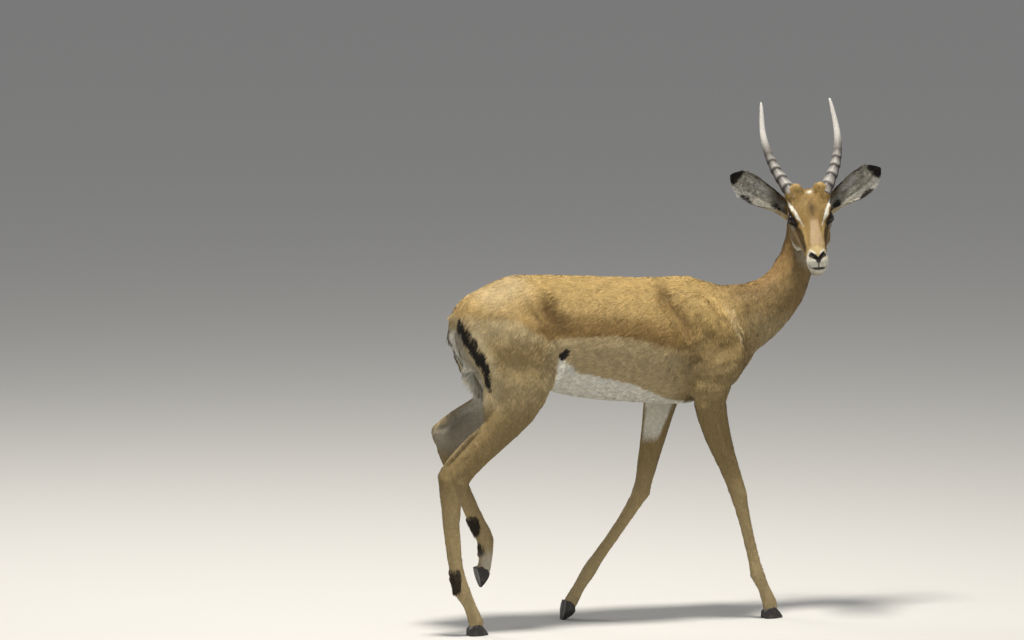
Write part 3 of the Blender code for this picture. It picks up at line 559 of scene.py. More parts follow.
# the head: along, depth, side
headRelief = [
    ((0.040, -0.010, 0.048), (0.078, -0.017, 0.041), 0.0065, 0.0022),       # brow over the eye
    ((0.080, -0.046, 0.041), (0.120, -0.052, 0.033), 0.0065, 0.0016),       # cheek bone
    ((0.088, -0.030, 0.036), (0.135, -0.026, 0.028), 0.0080, -0.0022),      # hollow before the eye
    ((0.075, 0.000, 0.022), (0.165, -0.006, 0.014), 0.0060, 0.0012),        # edges of the nose bridge
    ((0.048, -0.088, 0.045), (0.080, -0.088, 0.036), 0.0140, 0.0020),       # jaw muscle
    ((0.105, -0.074, 0.033), (0.150, -0.066, 0.027), 0.0060, -0.0010),
    ((0.016, 0.002, 0.000), (0.036, 0.004, 0.000), 0.0160, 0.0014),         # forehead
    ((-0.012, 0.006, 0.000), (0.004, 0.006, 0.000), 0.0095, -0.0030),       # dip between the horns
    ((0.198, -0.034, 0.021), (0.214, -0.026, 0.015), 0.0080, 0.0018),       # upper lip
    ((0.193, -0.010, 0.024), (0.184, -0.012, 0.025), 0.0060, 0.0018),       # wings of the nostrils
    ((0.206, -0.062, 0.008), (0.206, -0.062, 0.000), 0.0100, 0.0018),       # chin
    ((0.020, 0.000, 0.034), (0.034, 0.000, 0.038), 0.0110, -0.0012)]        # below the horns' seats
nostrilLine = [(0.1930, -0.0130, 0.0205), (0.2010, -0.0120, 0.0150), (0.2085, -0.0110, 0.0090),
               (0.2140, -0.0110, 0.0040)]
mouthLine = [(0.2270, -0.0370, 0.0), (0.2240, -0.0355, 0.0090), (0.2150, -0.0360, 0.0185),
             (0.1950, -0.0430, 0.0250), (0.1740, -0.0510, 0.0280)]
lipCleft = [(0.2190, -0.0115, 0.0), (0.2260, -0.0220, 0.0), (0.2280, -0.0360, 0.0)]
faceCuts = {"nostril": (0.0042, 0.0056), "mouth": (0.0019, 0.0022), "cleft": (0.0016, 0.0010)}  # width, depth
faceLines = {
    "cheek": [(0.085, -0.052, 0.044), (0.125, -0.050, 0.036), (0.160, -0.046, 0.031)],
    "tear": [(0.084, -0.031, 0.0410), (0.104, -0.030, 0.0365), (0.123, -0.030, 0.0335),
             (0.146, -0.033, 0.0310), (0.164, -0.034, 0.0290)],
    "brow": [(0.012, -0.014, 0.0530), (0.030, -0.012, 0.0495), (0.045, -0.010, 0.0450),
             (0.070, -0.008, 0.0365), (0.099, -0.008, 0.0275)],
    "rim": [(0.1810, -0.0110, 0.0215), (0.1920, -0.0050, 0.0150), (0.2000, -0.0040, 0.0090)],
    "jaw": [(0.095, -0.104, 0.026), (0.130, -0.094, 0.023), (0.165, -0.080, 0.021), (0.190, -0.068, 0.020)]}


def reliefOf(points, strokes, expand=None):
    height = np.zeros(len(points))
    for start, end, width, amount in strokes:
        if expand is not None:
            start = expand(start)
            end = expand(end)
        share, distance = alongSegment(points, start, end)
        taper = 1.0
        # long strokes run out softly at both ends
        if math.dist(start, end) > 2.5 * width:
            taper = 0.25 + 0.75 * np.sin(math.pi * share)
        height += amount * taper * bell(distance, width)
    return height


def sculptBody(target):
    points = pointsOf(target)
    walk = toWalk(points)
    normals = normalsOf(target)
    outward = ramp(normals[:, 1] * np.sign(walk[:, 1]), 0.0, 0.5)
    height = reliefOf(sidePlane(mirrored(walk)), bodyRelief, lambda place: (place[0], 0.0, place[1]))
    height *= outward * ramp(np.abs(walk[:, 1]), 0.03, 0.06) * (1.0 - headShareOf(walk))
    # each leg's strokes are measured in the plane of its side, and lie on the outer and the inner face
    for sign in (-1, 1):
        strokes = [stroke for stroke in legRelief if sign * stroke[0][1] > 0]
        faced = ramp(np.abs(normals[:, 1]), 0.15, 0.6) * (walk[:, 1] * sign > 0) * legShareOf(walk)
        height += reliefOf(sidePlane(walk), strokes, lambda place: (place[0], 0.0, place[2])) * faced
    height += 0.0006 * ripple(walk, 0.055, 3) * ramp(walk[:, 2], 0.50, 0.62) * (1.0 - headShareOf(walk))
    putPoints(target, points + normals * height[:, None])


def eyeFrame(side):
    centre = onHead(eyeAlong, eyeDepth, side * eyeSide)
    outward = (leftWay * (side * 0.80) + levelWay * 0.58 + upWay * 0.12).normalized()
    long = alongWay + browWay * 0.05
    long = (long - outward * long.dot(outward)).normalized()
    high = outward.cross(long).normalized()
    if high.dot(browWay) < 0:
        high = -high
    return np.array(centre), np.array(outward), np.array(long), np.array(high)


eyeOpening = {"halfLength": 0.0152, "halfHeight": 0.0086, "lid": 0.0017, "sunk": 0.0030, "hug": 0.0004}


def openingOf(points, side):
    centre, outward, long, high = eyeFrame(side)
    away = points - centre
    distance = np.linalg.norm(away, axis=1)
    way = away / np.maximum(distance, 1e-6)[:, None]
    radius = headSettings["eyeRadius"]
    u = (way @ long) * radius
    v = (way @ high) * radius
    facing = way @ outward
    share = np.abs(u / eyeOpening["halfLength"]) ** 2.0 + np.abs(v / eyeOpening["halfHeight"]) ** 1.6
    share = np.where((facing > 0.0) & (distance < 1.75 * radius), share, 9.0)
    return share, distance, way, u, v


def skinTree():
    mesh = skin.data
    polygons = [tuple(face.vertices) for face in mesh.polygons]
    return BVHTree.FromPolygons([vertex.co for vertex in mesh.vertices], polygons)


def laidOn(tree, stops):
    # the same line, moved to the nearest places on the skin of the head's right half
    laid = []
    for along, depth, side in stops:
        place = tree.find_nearest(onHead(along, depth, -side))[0]
        place = toHead(np.array(place)[None, :])[0]
        laid.append((place[0], place[1], abs(place[2])))
    return laid


def sculptHead(target):
    points = pointsOf(target)
    head = mirroredHead(toHead(points))
    normals = normalsOf(target)
    share = headShareOf(toWalk(points))
    height = reliefOf(head, headRelief)
    for name, line in (("nostril", nostrilLine), ("mouth", mouthLine), ("cleft", lipCleft)):
        width, depth = faceCuts[name]
        height -= depth * bell(lineDistance(head, line), width)
    points = points + normals * (height * share)[:, None]
    radius = headSettings["eyeRadius"]
    for side in (-1, 1):
        centre = eyeFrame(side)[0]
        opening, distance, way, _, _ = openingOf(points, side)
        lid = radius + eyeOpening["lid"] * bell(opening - 1.15, 0.9)
        near = opening < 3.5
        inside = ramp(1.04 - opening, 0.0, 0.16)
        wanted = np.maximum(distance, lid)
        wanted = wanted + (radius - eyeOpening["sunk"] - wanted) * inside
        # the lids hug the ball: what stands far out near the opening is drawn in
        close = ramp(1.9 - opening, 0.0, 0.8)
        wanted = wanted + (np.minimum(wanted, lid + eyeOpening["hug"]) - wanted) * close * 0.75
        points = np.where(near[:, None], centre + way * wanted[:, None], points)
    putPoints(target, points)


skin = buildSkin(skinSettings)
sculptBody(skin)
eyeNear = np.zeros(len(skin.data.vertices), bool)
for eyeCentre in (eyeFrame(-1)[0], eyeFrame(1)[0]):
    eyeNear |= np.linalg.norm(pointsOf(skin) - eyeCentre, axis=1) < 0.028
headPlaces = toHead(pointsOf(skin))
muzzleNear = (headPlaces[:, 0] > 0.172) & (headPlaces[:, 0] < 0.25) & (headPlaces[:, 1] > -0.060)
muzzleNear &= np.linalg.norm(headPlaces, axis=1) < 0.26
refine(skin, eyeNear | muzzleNear)
headTree = skinTree()
nostrilLine = laidOn(headTree, nostrilLine)
mouthLine = laidOn(headTree, mouthLine)
lipCleft = laidOn(headTree, lipCleft)
sculptHead(skin)
headTree = skinTree()
faceLines = {name: laidOn(headTree, stops) for name, stops in faceLines.items()}
evenOut(skin, 2, headShareOf(toWalk(pointsOf(skin))) * 0.6)
skin.data.shade_smooth()
print("skin", sum(len(face.vertices) - 2 for face in skin.data.polygons), "triangles")

# markings: one function of place, used by the skin and by every tuft

tone = {"golden": (0.46, 0.320, 0.125), "rufous": (0.232, 0.144, 0.050), "tan": (0.41, 0.320, 0.172),
        "thigh": (0.29, 0.205, 0.086), "leg": (0.240, 0.171, 0.073), "shin": (0.42, 0.318, 0.158),
        "white": (0.66, 0.64, 0.56), "cream": (0.52, 0.44, 0.27), "grey": (0.32, 0.29, 0.235),
        "black": (0.014, 0.011, 0.009), "neck": (0.205, 0.140, 0.060), "crest": (0.27, 0.165, 0.058),
        "forehead": (0.22, 0.138, 0.042), "umber": (0.055, 0.028, 0.008), "tear": (0.062, 0.034, 0.007),
        "sheen": (0.58, 0.47, 0.29), "bridge": (0.38, 0.275, 0.160),
        "fawn": (0.30, 0.210, 0.090), "muzzle": (0.40, 0.310, 0.145), "shoulder": (0.225, 0.157, 0.062)}
# lower edge of the saddle: forwards, up, half the width over which it fades
saddleEdge = [(-0.400, 0.796, 0.014), (-0.340, 0.793, 0.014), (-0.283, 0.791, 0.014), (-0.256, 0.781, 0.013),
              (-0.229, 0.763, 0.012), (-0.202, 0.748, 0.009), (-0.175, 0.736, 0.006), (-0.073, 0.738, 0.005),
              (0.007, 0.740, 0.005), (0.075, 0.725, 0.008), (0.115, 0.711, 0.022), (0.196, 0.692, 0.040),
              (0.300, 0.680, 0.050)]
bellyEdge = {"x": (-0.30, -0.17, -0.138, -0.114, -0.087, 0.007, 0.061, 0.102, 0.156, 0.22, 0.30, 0.40),
             "z": (0.640, 0.700, 0.690, 0.667, 0.648, 0.624, 0.612, 0.593, 0.571, 0.556, 0.560, 0.580)}
stripeLine = [(-0.394, 0.0, 0.784), (-0.384, 0.0, 0.764), (-0.373, 0.0, 0.739), (-0.362, 0.0, 0.714),
              (-0.3485, 0.0, 0.6865), (-0.340, 0.0, 0.664), (-0.335, 0.0, 0.639), (-0.332, 0.0, 0.615)]
stripeWidth = {"z": (0.600, 0.620, 0.640, 0.664, 0.687, 0.714, 0.740, 0.775),
               "half": (0.0002, 0.0026, 0.0050, 0.0070, 0.0088, 0.0098, 0.0105, 0.0105)}
tailMiddle = [(-0.394, 0.0, 0.784), (-0.398, 0.0, 0.748), (-0.382, 0.0, 0.704), (-0.358, 0.0, 0.658),
              (-0.334, 0.0, 0.620), (-0.320, 0.0, 0.596)]
# strokes of tone on the sides, some of them painted shade and painted highlight: start and end (forwards,
# up), width, strength
coatStrokes = {
    "rump": [("sheen", (-0.310, 0.838), (-0.235, 0.868), 0.030, 0.45)],
    "flank": [("rufous", (-0.172, 0.808), (-0.132, 0.750), 0.026, 0.90),
              ("umber", (-0.172, 0.808), (-0.132, 0.750), 0.028, 0.46)],
    "shoulder": [("rufous", (0.154, 0.825), (0.205, 0.745), 0.028, 0.60),
                 ("umber", (0.154, 0.825), (0.205, 0.745), 0.020, 0.36)],
    "limbs": [("umber", (0.200, 0.645), (0.232, 0.680), 0.018, 0.28),
              ("umber", (-0.160, 0.668), (-0.158, 0.655), 0.016, 0.22),
              ("cream", (-0.148, 0.684), (-0.168, 0.600), 0.004, 0.80)],
    "neckRootHighlight": [("cream", (0.318, 0.797), (0.350, 0.703), 0.0045, 0.45),
                 ("cream", (0.338, 0.790), (0.358, 0.725), 0.0045, 0.45)]}
# zones of the coat: each entry is an axis, the value where the zone begins and the value where it is full;
# x is forwards, outer is away from the middle plane, z is up
coatZones = {
    "thigh": [("x", -0.16, -0.21), ("z", 0.76, 0.71)],
    "thighTop": [("z", 0.62, 0.70)],
    "shoulder": [("x", 0.15, 0.24), ("z", 0.80, 0.70)],
    "shin": [("z", 0.42, 0.28)],
    "belly": [("z", 0.515, 0.530)],
    "foreInside": [("x", 0.08, 0.12), ("z", 0.44, 0.47), ("z", 0.66, 0.61)],
    "hindInside": [("x", -0.12, -0.20), ("z", 0.50, 0.56), ("z", 0.70, 0.65)],
    "shankInside": [("x", -0.20, -0.30), ("z", 0.42, 0.47), ("z", 0.56, 0.52)],
    "saddleLow": [("x", -0.14, -0.10), ("x", 0.22, 0.16)],
    "rump": [("x", -0.29, -0.33), ("z", 0.55, 0.60), ("z", 0.770, 0.758)],
    "stripe": [("outer", 0.022, 0.027)],
    "cleft": [("x", -0.26, -0.30), ("outer", 0.046, 0.038), ("z", 0.765, 0.755), ("z", 0.53, 0.56)],
    "tailDark": [("outer", 0.0090, 0.0060)],
    "neckBase": [("z", 0.80, 0.74)],
    "throat": [("z", 0.90, 0.99)],
    "chest": [("x", 0.30, 0.36), ("outer", 0.030, 0.010), ("z", 0.70, 0.64)],
    "foot": [("z", 0.30, 0.05)],
    "pastern": [("z", 0.200, 0.170), ("x", -0.294, -0.284)],
    "tail": [("outer", 0.020, 0.016), ("z", 0.765, 0.755)]}
# edges across a zone, as pairs of up and forwards
coatEdges = {"bellyRear": ((0.560, 0.597, 0.684, 0.700), (-0.176, -0.168, -0.150, -0.142)),
             "bellyFront": ((0.540, 0.582, 0.659), (0.225, 0.200, 0.160)),
             "wedge": ((0.430, 0.459, 0.534, 0.600), (0.168, 0.188, 0.222, 0.246))}
# the black brushes over the hind fetlocks, and the last at the left dewclaw
brushes = [
    {"top": (-0.4275, -0.080, 0.1545), "low": (-0.4255, -0.080, 0.1300), "reach": 0.0190, "strength": 0.94},
    {"top": (-0.3140, 0.085, 0.2650), "low": (-0.3080, 0.085, 0.2490), "reach": 0.0175, "strength": 0.96},
    {"top": (-0.2910, 0.085, 0.2010), "low": (-0.2850, 0.085, 0.1890), "reach": 0.0100, "strength": 0.90}]
# dark points of the hocks: place (forwards, up), half of the body, strength
hockSpots = [((-0.4235, 0.5055), 1, 0.95), ((-0.466, 0.420), -1, 0.25)]


def zoneOf(walk, name):
    axes = {"x": walk[:, 0], "outer": np.abs(walk[:, 1]), "z": walk[:, 2]}
    share = np.ones(len(walk))
    for axis, start, full in coatZones[name]:
        share = share * ramp(axes[axis], start, full)
    return share


def tailShareOf(walk):
    return ramp(lineDistance(sidePlane(walk), tailMiddle), 0.021, 0.017) * zoneOf(walk, "tail")


def brushDistance(walk, brush):
    # a brush is wider across the leg than along it
    squash = np.array((1, 0.6, 1))
    return segmentDistance(walk * squash, np.array(brush["top"]) * squash, np.array(brush["low"]) * squash)


def mix(colours, name, share):
    target = np.array(tone[name]) if isinstance(name, str) else name
    return colours + (target - colours) * np.clip(share, 0.0, 1.0)[:, None]


def paintStrokes(colours, sideways, name, share):
    for strokeTone, start, end, width, strength in coatStrokes[name]:
        distance = segmentDistance(sideways, (start[0], 0, start[1]), (end[0], 0, end[1]))
        colours = mix(colours, strokeTone, bell(distance, width) * strength * share)
    return colours


def bodyColours(walk, normals):
    x, y, z = walk.T
    outer = np.abs(y)
    side = ramp(outer, 0.04, 0.06)
    wobble = ripple(walk, 0.020, 11) * 0.0016
    sideways = sidePlane(mirrored(walk))
    lying = sidePlane(walk)
    inward = ramp(-normals[:, 1] * np.sign(y), 0.15, 0.65)
    colours = np.tile(np.array(tone["tan"]), (len(walk), 1))
    # saddle over the back, deepest just above its edge
    edgeX, edgeZ, edgeSoft = np.array(saddleEdge).T
    edge = np.interp(x, edgeX, edgeZ)
    soft = np.interp(x, edgeX, edgeSoft)
    above = z + wobble - edge
    bright = ramp(above + 0.040 * ramp(-x, 0.18, 0.26), 0.0, 0.085)
    saddle = mix(np.array(tone["rufous"]), "golden", bright)
    colours = mix(colours, saddle, ramp(above, -soft, soft))
    # painted highlight: a pale sheen laid over the top of the rump
    colours = paintStrokes(colours, sideways, "rump", 1.0)
    # thighs and shoulders between saddle and legs
    colours = mix(colours, "thigh", zoneOf(walk, "thigh") * (0.35 + 0.50 * zoneOf(walk, "thighTop")))
    colours = mix(colours, "shoulder", zoneOf(walk, "shoulder") * 0.80)
    legShare = legShareOf(walk)
    colours = mix(colours, "leg", legShare * 0.9)
    # lower legs paler: partly their paler coat, partly painted light where little light from above reaches
    # them
    colours = mix(colours, "shin", legShare * zoneOf(walk, "shin") * 0.85)
    # white belly between the legs' edges
    under = np.interp(x, bellyEdge["x"], bellyEdge["z"]) - z + wobble
    rear = x - np.interp(z, *coatEdges["bellyRear"])
    front = np.where(y < 0, np.interp(z, *coatEdges["bellyFront"]), 0.095) - x
    between = ramp(0.066 - outer, 0.0, 0.02)
    openBelly = ramp(rear, 0.0, 0.006) * np.maximum(ramp(front, 0.0, 0.010), between)
    belly = ramp(under, -0.003, 0.003) * openBelly * zoneOf(walk, "belly")
    colours = mix(colours, "white", belly)
    # insides of the legs
    wedge = np.interp(z, *coatEdges["wedge"]) - x
    insides = np.maximum(zoneOf(walk, "foreInside") * ramp(wedge, -0.004, 0.006), zoneOf(walk, "hindInside"))
    colours = mix(colours, "white", inward * insides * 0.90)
    colours = mix(colours, "grey", inward * zoneOf(walk, "shankInside") * 0.85)
    # heel tendons, pale, with a dark line in front of the right one; on the right leg the pale strip is
    # partly a painted highlight, and the dark line is painted shade in the groove before the tendon
    far = (y > 0.03) * legShare
    near = (y < -0.05) * legShare
    tendon = segmentDistance(lying, (-0.414, 0, 0.512), (-0.315, 0, 0.582))
    colours = mix(colours, "tan", bell(tendon, 0.010) * far * 0.9)
    tendon = lineDistance(lying, [(-0.350, 0, 0.565), (-0.364, 0, 0.528), (-0.462, 0, 0.430)])
    colours = mix(colours, "tan", bell(tendon, 0.008) * near * 0.6)
    # painted shade: the dark line in the groove in front of the right heel tendon
    tendon = lineDistance(lying, [(-0.350, 0, 0.560), (-0.356, 0, 0.526), (-0.442, 0, 0.432)])
    colours = mix(colours, "umber", bell(tendon, 0.0045) * near * (1.0 - inward) * 0.30)
    # dark in the hollows of flank and shoulder, partly the coat's own deeper rufous and partly painted shade,
    # and along the saddle's edge between them
    colours = paintStrokes(colours, sideways, "flank", ramp(above, 0.0, 0.02))
    low = bell(above - 0.012, 0.026) * ramp(above, 0.0, 0.004) * zoneOf(walk, "saddleLow")
    colours = mix(colours, "rufous", low * 0.85)
    # painted shade, over the coat's deeper rufous, in the hollow behind the shoulder blade
    colours = paintStrokes(colours, sideways, "shoulder", 1.0)
    # the umber strokes here are painted shade in the groove of the shoulder joint and beside the flank's fold
    colours = paintStrokes(colours, sideways, "limbs", side)
    # flank spot at the head of the fold
    spot = segmentDistance(sideways, (-0.136, 0, 0.694), (-0.124, 0, 0.702)) + wobble
    colours = mix(colours, "black", ramp(0.0118 - spot, 0.0, 0.003) * side)
    # rump: a broad dark stripe down each buttock, cream before and behind it
    stripe = lineDistance(sideways, stripeLine) + wobble * 1.8
    stripeX, _, stripeZ = np.array(stripeLine[::-1]).T
    middle = np.interp(z, stripeZ, stripeX)
    rump = zoneOf(walk, "rump")
    colours = mix(colours, "cream", rump * bell(x - middle - 0.018, 0.016) * 0.6)
    colours = mix(colours, "cream", rump * ramp(middle - x, 0.0, 0.010) * 0.7)
    half = np.interp(z, stripeWidth["z"], stripeWidth["half"])
    serrated = ripple(walk * (1, 1, 3), 0.010, 12) * 0.0012
    striped = ramp(half + serrated - stripe, -0.0015, 0.0015) * zoneOf(walk, "stripe")
    colours = mix(colours, "black", striped * (1.0 - inward))
    # between the buttocks: pale, with the tail's dark line down the middle
    colours = mix(colours, "grey", zoneOf(walk, "cleft") * 0.8)
    tailSide = tailShareOf(walk)
    colours = mix(colours, "white", tailSide)
    tailDark = zoneOf(walk, "tailDark") * ramp(-normals[:, 0], 0.0, 0.3)
    colours = mix(colours, "black", tailSide * tailDark * 0.93)
    # neck: duller, with a warm crest and a pale throat
    neck = ramp(neckAlong(walk), -0.05, 0.06)
    colours = mix(colours, "neck", neck * 0.92)
    # the base of the neck is paler: partly the coat's lighter tan, partly painted light where the lower neck
    # is lit
    colours = mix(colours, "tan", neck * zoneOf(walk, "neckBase") * 0.60)
    crest = normals @ np.array((-0.80, 0.0, 0.60))
    colours = mix(colours, "crest", neck * ramp(crest, 0.2, 0.9) * 0.8)
    throat = normals @ np.array((0.75, 0.0, -0.66))
    colours = mix(colours, "cream", neck * ramp(throat, 0.55, 1.0) * zoneOf(walk, "throat") * 0.55)
    colours = mix(colours, "cream", zoneOf(walk, "chest") * 0.15)
    # painted highlights: pale streaks along the ridges at the root of the neck
    colours = paintStrokes(colours, sideways, "neckRootHighlight", side)
    # lower legs: pale pasterns, black brushes over the hind fetlocks
    colours = mix(colours, "cream", legShare * zoneOf(walk, "foot") * 0.25)
    for brush in brushes:
        inBrush = ramp(brush["reach"] - brushDistance(walk, brush) + wobble, 0.0, 0.003)
        colours = mix(colours, "black", inBrush * brush["strength"])
    colours = mix(colours, "white", (y > 0.03) * (x < -0.2) * zoneOf(walk, "pastern") * 0.55)
    for joint, sign, dark in hockSpots:
        away = np.hypot(x - joint[0], z - joint[1])
        colours = mix(colours, "umber", np.exp(-(away / 0.0105) ** 4) * dark * (y * sign > 0))
    return colours


# how wide or how deep a marking is along the face; the lip's and the mouth's go by the distance to the side
faceWidths = {"bridge": ((0.070, 0.110, 0.150, 0.180), (0.0120, 0.0145, 0.0200, 0.0230)),
              "tear": ((0.085, 0.105, 0.125, 0.150, 0.175), (0.0060, 0.0090, 0.0105, 0.0090, 0.0045)),
              "brow": ((0.000, 0.020, 0.040, 0.075, 0.095), (0.0024, 0.0042, 0.0050, 0.0042, 0.0012)),
              "jaw": ((0.040, 0.100, 0.160, 0.200), (0.098, 0.080, 0.064, 0.050)),
              "nostril": ((0.188, 0.194, 0.203, 0.214), (0.0050, 0.0072, 0.0074, 0.0054)),
              "lip": ((0.006, 0.020), (0.0095, 0.0150)),
              "mouth": ((0.000, 0.010, 0.016, 0.024), (0.0050, 0.0044, 0.0026, 0.0004))}


def faceColours(places, head):
    along, depth, signed = head.T
    head = mirroredHead(head)
    side = head[:, 2]
    wobble = ripple(places, 0.014, 21) * 0.0010
    colours = np.tile(np.array(tone["fawn"]), (len(head), 1))
    top = ramp(depth, -0.050, -0.025)
    colours = mix(colours, "forehead", top * ramp(0.19 - along, 0.0, 0.03))
    colours = mix(colours, "neck", ramp(-depth, 0.035, 0.065) * ramp(0.14 - along, 0.0, 0.05) * 0.8)
    tousled = ripple(places, 0.0085, 22) * ramp(0.10 - along, 0.0, 0.05)
    colours = mix(colours, "golden", np.maximum(tousled - 0.2, 0.0) * top * 0.30)
    colours = mix(colours, "umber", np.maximum(-tousled - 0.2, 0.0) * top * 0.22)
    patch = np.hypot((along - 0.056) / 0.026, (signed - 0.001) / 0.0080)
    colours = mix(colours, "umber", np.exp(-patch ** 2) * top * 0.80)
    cushion = np.hypot(along + 0.010, side - 0.030)
    colours = mix(colours, "golden", bell(cushion, 0.014) * 0.75)
    half = np.interp(along, *faceWidths["bridge"])
    bridge = ramp(along, 0.072, 0.100) * ramp(0.180 - along, 0.0, 0.02) * top
    bridge = bridge * ramp(half - np.abs(signed - 0.004), 0.0, 0.006)
    colours = mix(colours, "bridge", bridge * 0.85)
    colours = mix(colours, "muzzle", ramp(along, 0.165, 0.180) * top * 0.9)
    # pale cheek streak, dark streak from the eye's inner corner, white brow
    cheek = lineDistance(head, faceLines["cheek"]) + wobble
    colours = mix(colours, "bridge", bell(cheek, 0.008) * 0.6)
    jaw = lineDistance(head, faceLines["jaw"]) + wobble
    colours = mix(colours, "white", bell(jaw, 0.0055) * 0.55)
    tear = lineDistance(head, faceLines["tear"]) + wobble
    width = np.interp(along, *faceWidths["tear"])
    colours = mix(colours, "golden", bell(tear - 0.015, 0.006) * top * ramp(along, 0.08, 0.10) * 0.6)
    colours = mix(colours, "tear", ramp(width - tear, -0.0035, 0.0035) * 0.95)
    brow = lineDistance(head, faceLines["brow"]) + wobble * 0.7
    width = np.interp(along, *faceWidths["brow"])
    colours = mix(colours, "white", ramp(width - brow, -0.0012, 0.0016) * 0.95)
    spot = np.hypot(along + 0.004, signed - 0.003)
    colours = mix(colours, "white", bell(spot, 0.0065) * 0.85)
    # muzzle: white lips and chin, black nostrils with pale rims
    lips = ramp(along, 0.178, 0.192) * ramp(-depth - np.interp(side, *faceWidths["lip"]), 0.0, 0.004)
    lips = np.maximum(lips, ramp(along, 0.214, 0.219))
    colours = mix(colours, "white", lips * 0.95)
    under = ramp(-depth - np.interp(along, *faceWidths["jaw"]), -0.006, 0.006)
    colours = mix(colours, "white", under * ramp(along, 0.05, 0.09) * 0.85)
    rim = lineDistance(head, faceLines["rim"])
    colours = mix(colours, "white", bell(rim, 0.0030) * 0.9)
    nostril = lineDistance(head, nostrilLine)
    width = np.interp(along, *faceWidths["nostril"])
    colours = mix(colours, "black", ramp(width - nostril, -0.0005, 0.0008))
    pad = np.hypot((along - 0.2160) / 0.0050, side / 0.0060)
    colours = mix(colours, "black", ramp(1.0 - pad, -0.12, 0.12) * ramp(0.024 + depth, 0.0, 0.004))
    colours = mix(colours, "black", ramp(0.0015 - lineDistance(head, lipCleft), -0.0008, 0.0006) * 0.9)
    mouth = lineDistance(head, mouthLine)
    width = np.interp(side, *faceWidths["mouth"])
    colours = mix(colours, "black", ramp(width - mouth, -0.0010, 0.0008) * 0.92)
    for eyeFace in (-1, 1):
        opening, _, _, _, v = openingOf(places, eyeFace)
        colours = mix(colours, "grey", bell(opening - 2.0, 0.8) * ramp(-v, 0.002, 0.008) * 0.85)
        colours = mix(colours, "black", ramp(1.62 - opening, 0.0, 0.25) * 0.97)
    return colours


def coatColours(places, normals):
    walk = toWalk(places)
    share = headShareOf(walk)
    colours = bodyColours(walk, normals)
    face = faceColours(places, toHead(places))
    colours = colours + (face - colours) * share[:, None]
    return np.clip(colours, 0.004, 0.9)


# the skin is a little darker than the tufts that lie on it
setColours(skin, coatColours(pointsOf(skin), normalsOf(skin)) * skinSettings["shade"])
skin.data.materials.append(skinMaterial)
unwrap(skin)
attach(skin, "root")
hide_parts(*fleshNodes)
print("skin coloured and unwrapped")

# eyes: dark balls with a lying pupil, a little smaller than the lids that close on them

eyeSettings = {"radius": 0.0172, "bulge": 0.0007, "iris": 0.0118, "pupilLong": 0.0066, "pupilHigh": 0.0034,
               "irisColour": (0.020, 0.009, 0.004), "rimColour": (0.006, 0.004, 0.003)}


def buildEyes(settings):
    material, nodes, links, shader = newMaterial("eyeGlass", {
        "Roughness": 0.10, "Specular IOR Level": 0.25, "Coat Weight": 0.25, "Coat Roughness": 0.03})
    place = nodes.new("ShaderNodeTexCoord").outputs["Object"]
    streaks = addNoise(nodes, links, place, 900.0, 2.0).node
    blend = nodes.new("ShaderNodeMix")
    blend.data_type = "RGBA"
    blend.blend_type = "MULTIPLY"
    blend.inputs["Factor"].default_value = 0.5
    links.new(addAttribute(nodes, "eyeColour"), blend.inputs["A"])
    links.new(streaks.outputs["Color"], blend.inputs["B"])
    links.new(blend.outputs["Result"], shader.inputs["Base Color"])
    for side, half in ((-1, "right"), (1, "left")):
        centre, outward, long, high = eyeFrame(side)
        bpy.ops.mesh.primitive_ico_sphere_add(subdivisions=5, radius=settings["radius"], location=(0, 0, 0))
        made = bpy.context.object
        made.name = "eyeball_" + half
        points = pointsOf(made)
        way = unit(points)
        facing = way @ outward
        u = way @ long * settings["radius"]
        v = way @ high * settings["radius"]
        bulge = settings["bulge"] * ramp(facing, 0.70, 0.90)
        putPoints(made, centre + points + way * bulge[:, None])
        inIris = ramp(settings["iris"] - np.hypot(u, v), -0.0006, 0.0006) * (facing > 0)
        inPupil = ramp(1.0 - np.hypot(u / settings["pupilLong"], v / settings["pupilHigh"]), -0.1, 0.1)
        colours = np.tile(np.array(settings["rimColour"]), (len(way), 1))
        colours = colours + (np.array(settings["irisColour"]) - colours) * inIris[:, None]
        colours = colours * (1.0 - 0.95 * inPupil * inIris)[:, None]
        setColours(made, colours, "eyeColour")
        made.data.materials.append(material)
        made.data.shade_smooth()
        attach(made, "root")
        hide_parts("eye_" + half)


buildEyes(eyeSettings)
print("eyes made")

# horns: ringed on the lower two thirds, smooth and pale towards the tips

hornSettings = {"place": (-0.004, -0.008, 0.0), "radius": 0.0175, "lean": 0.008, "steps": 26, "around": 40,
                "grooves": (0.02, 0.135, 0.255, 0.375, 0.485, 0.575, 0.650, 0.715),
                "path": [(0.0330, -0.004, -0.014), (0.0403, 0.004, 0.002), (0.0583, 0.028, 0.032),
                         (0.0755, 0.050, 0.065), (0.0885, 0.071, 0.107), (0.0935, 0.091, 0.156),
                         (0.0870, 0.106, 0.231)],
                "dark": (0.045, 0.038, 0.036), "light": (0.60, 0.58, 0.545), "body": (0.125, 0.114, 0.105)}


def hornMaterial():
    material, nodes, links, shader = newMaterial("hornKeratin", {
        "Roughness": 0.48, "Specular IOR Level": 0.45})
    _, stretched = addStretch(nodes, links, (1.0, 1.0, 0.12))
    fibre = addNoise(nodes, links, stretched, 700.0, 4.0)
    shade = nodes.new("ShaderNodeMapRange")
    shade.inputs["To Min"].default_value = 0.55
    shade.inputs["To Max"].default_value = 1.45
    links.new(fibre, shade.inputs["Value"])
    tint = nodes.new("ShaderNodeVectorMath")
    tint.operation = "SCALE"
    links.new(addAttribute(nodes, "hornColour"), tint.inputs[0])
    links.new(shade.outputs["Result"], tint.inputs["Scale"])
    links.new(tint.outputs[0], shader.inputs["Base Color"])
    addBump(nodes, links, shader, fibre, 0.5, 0.0004)
    return material


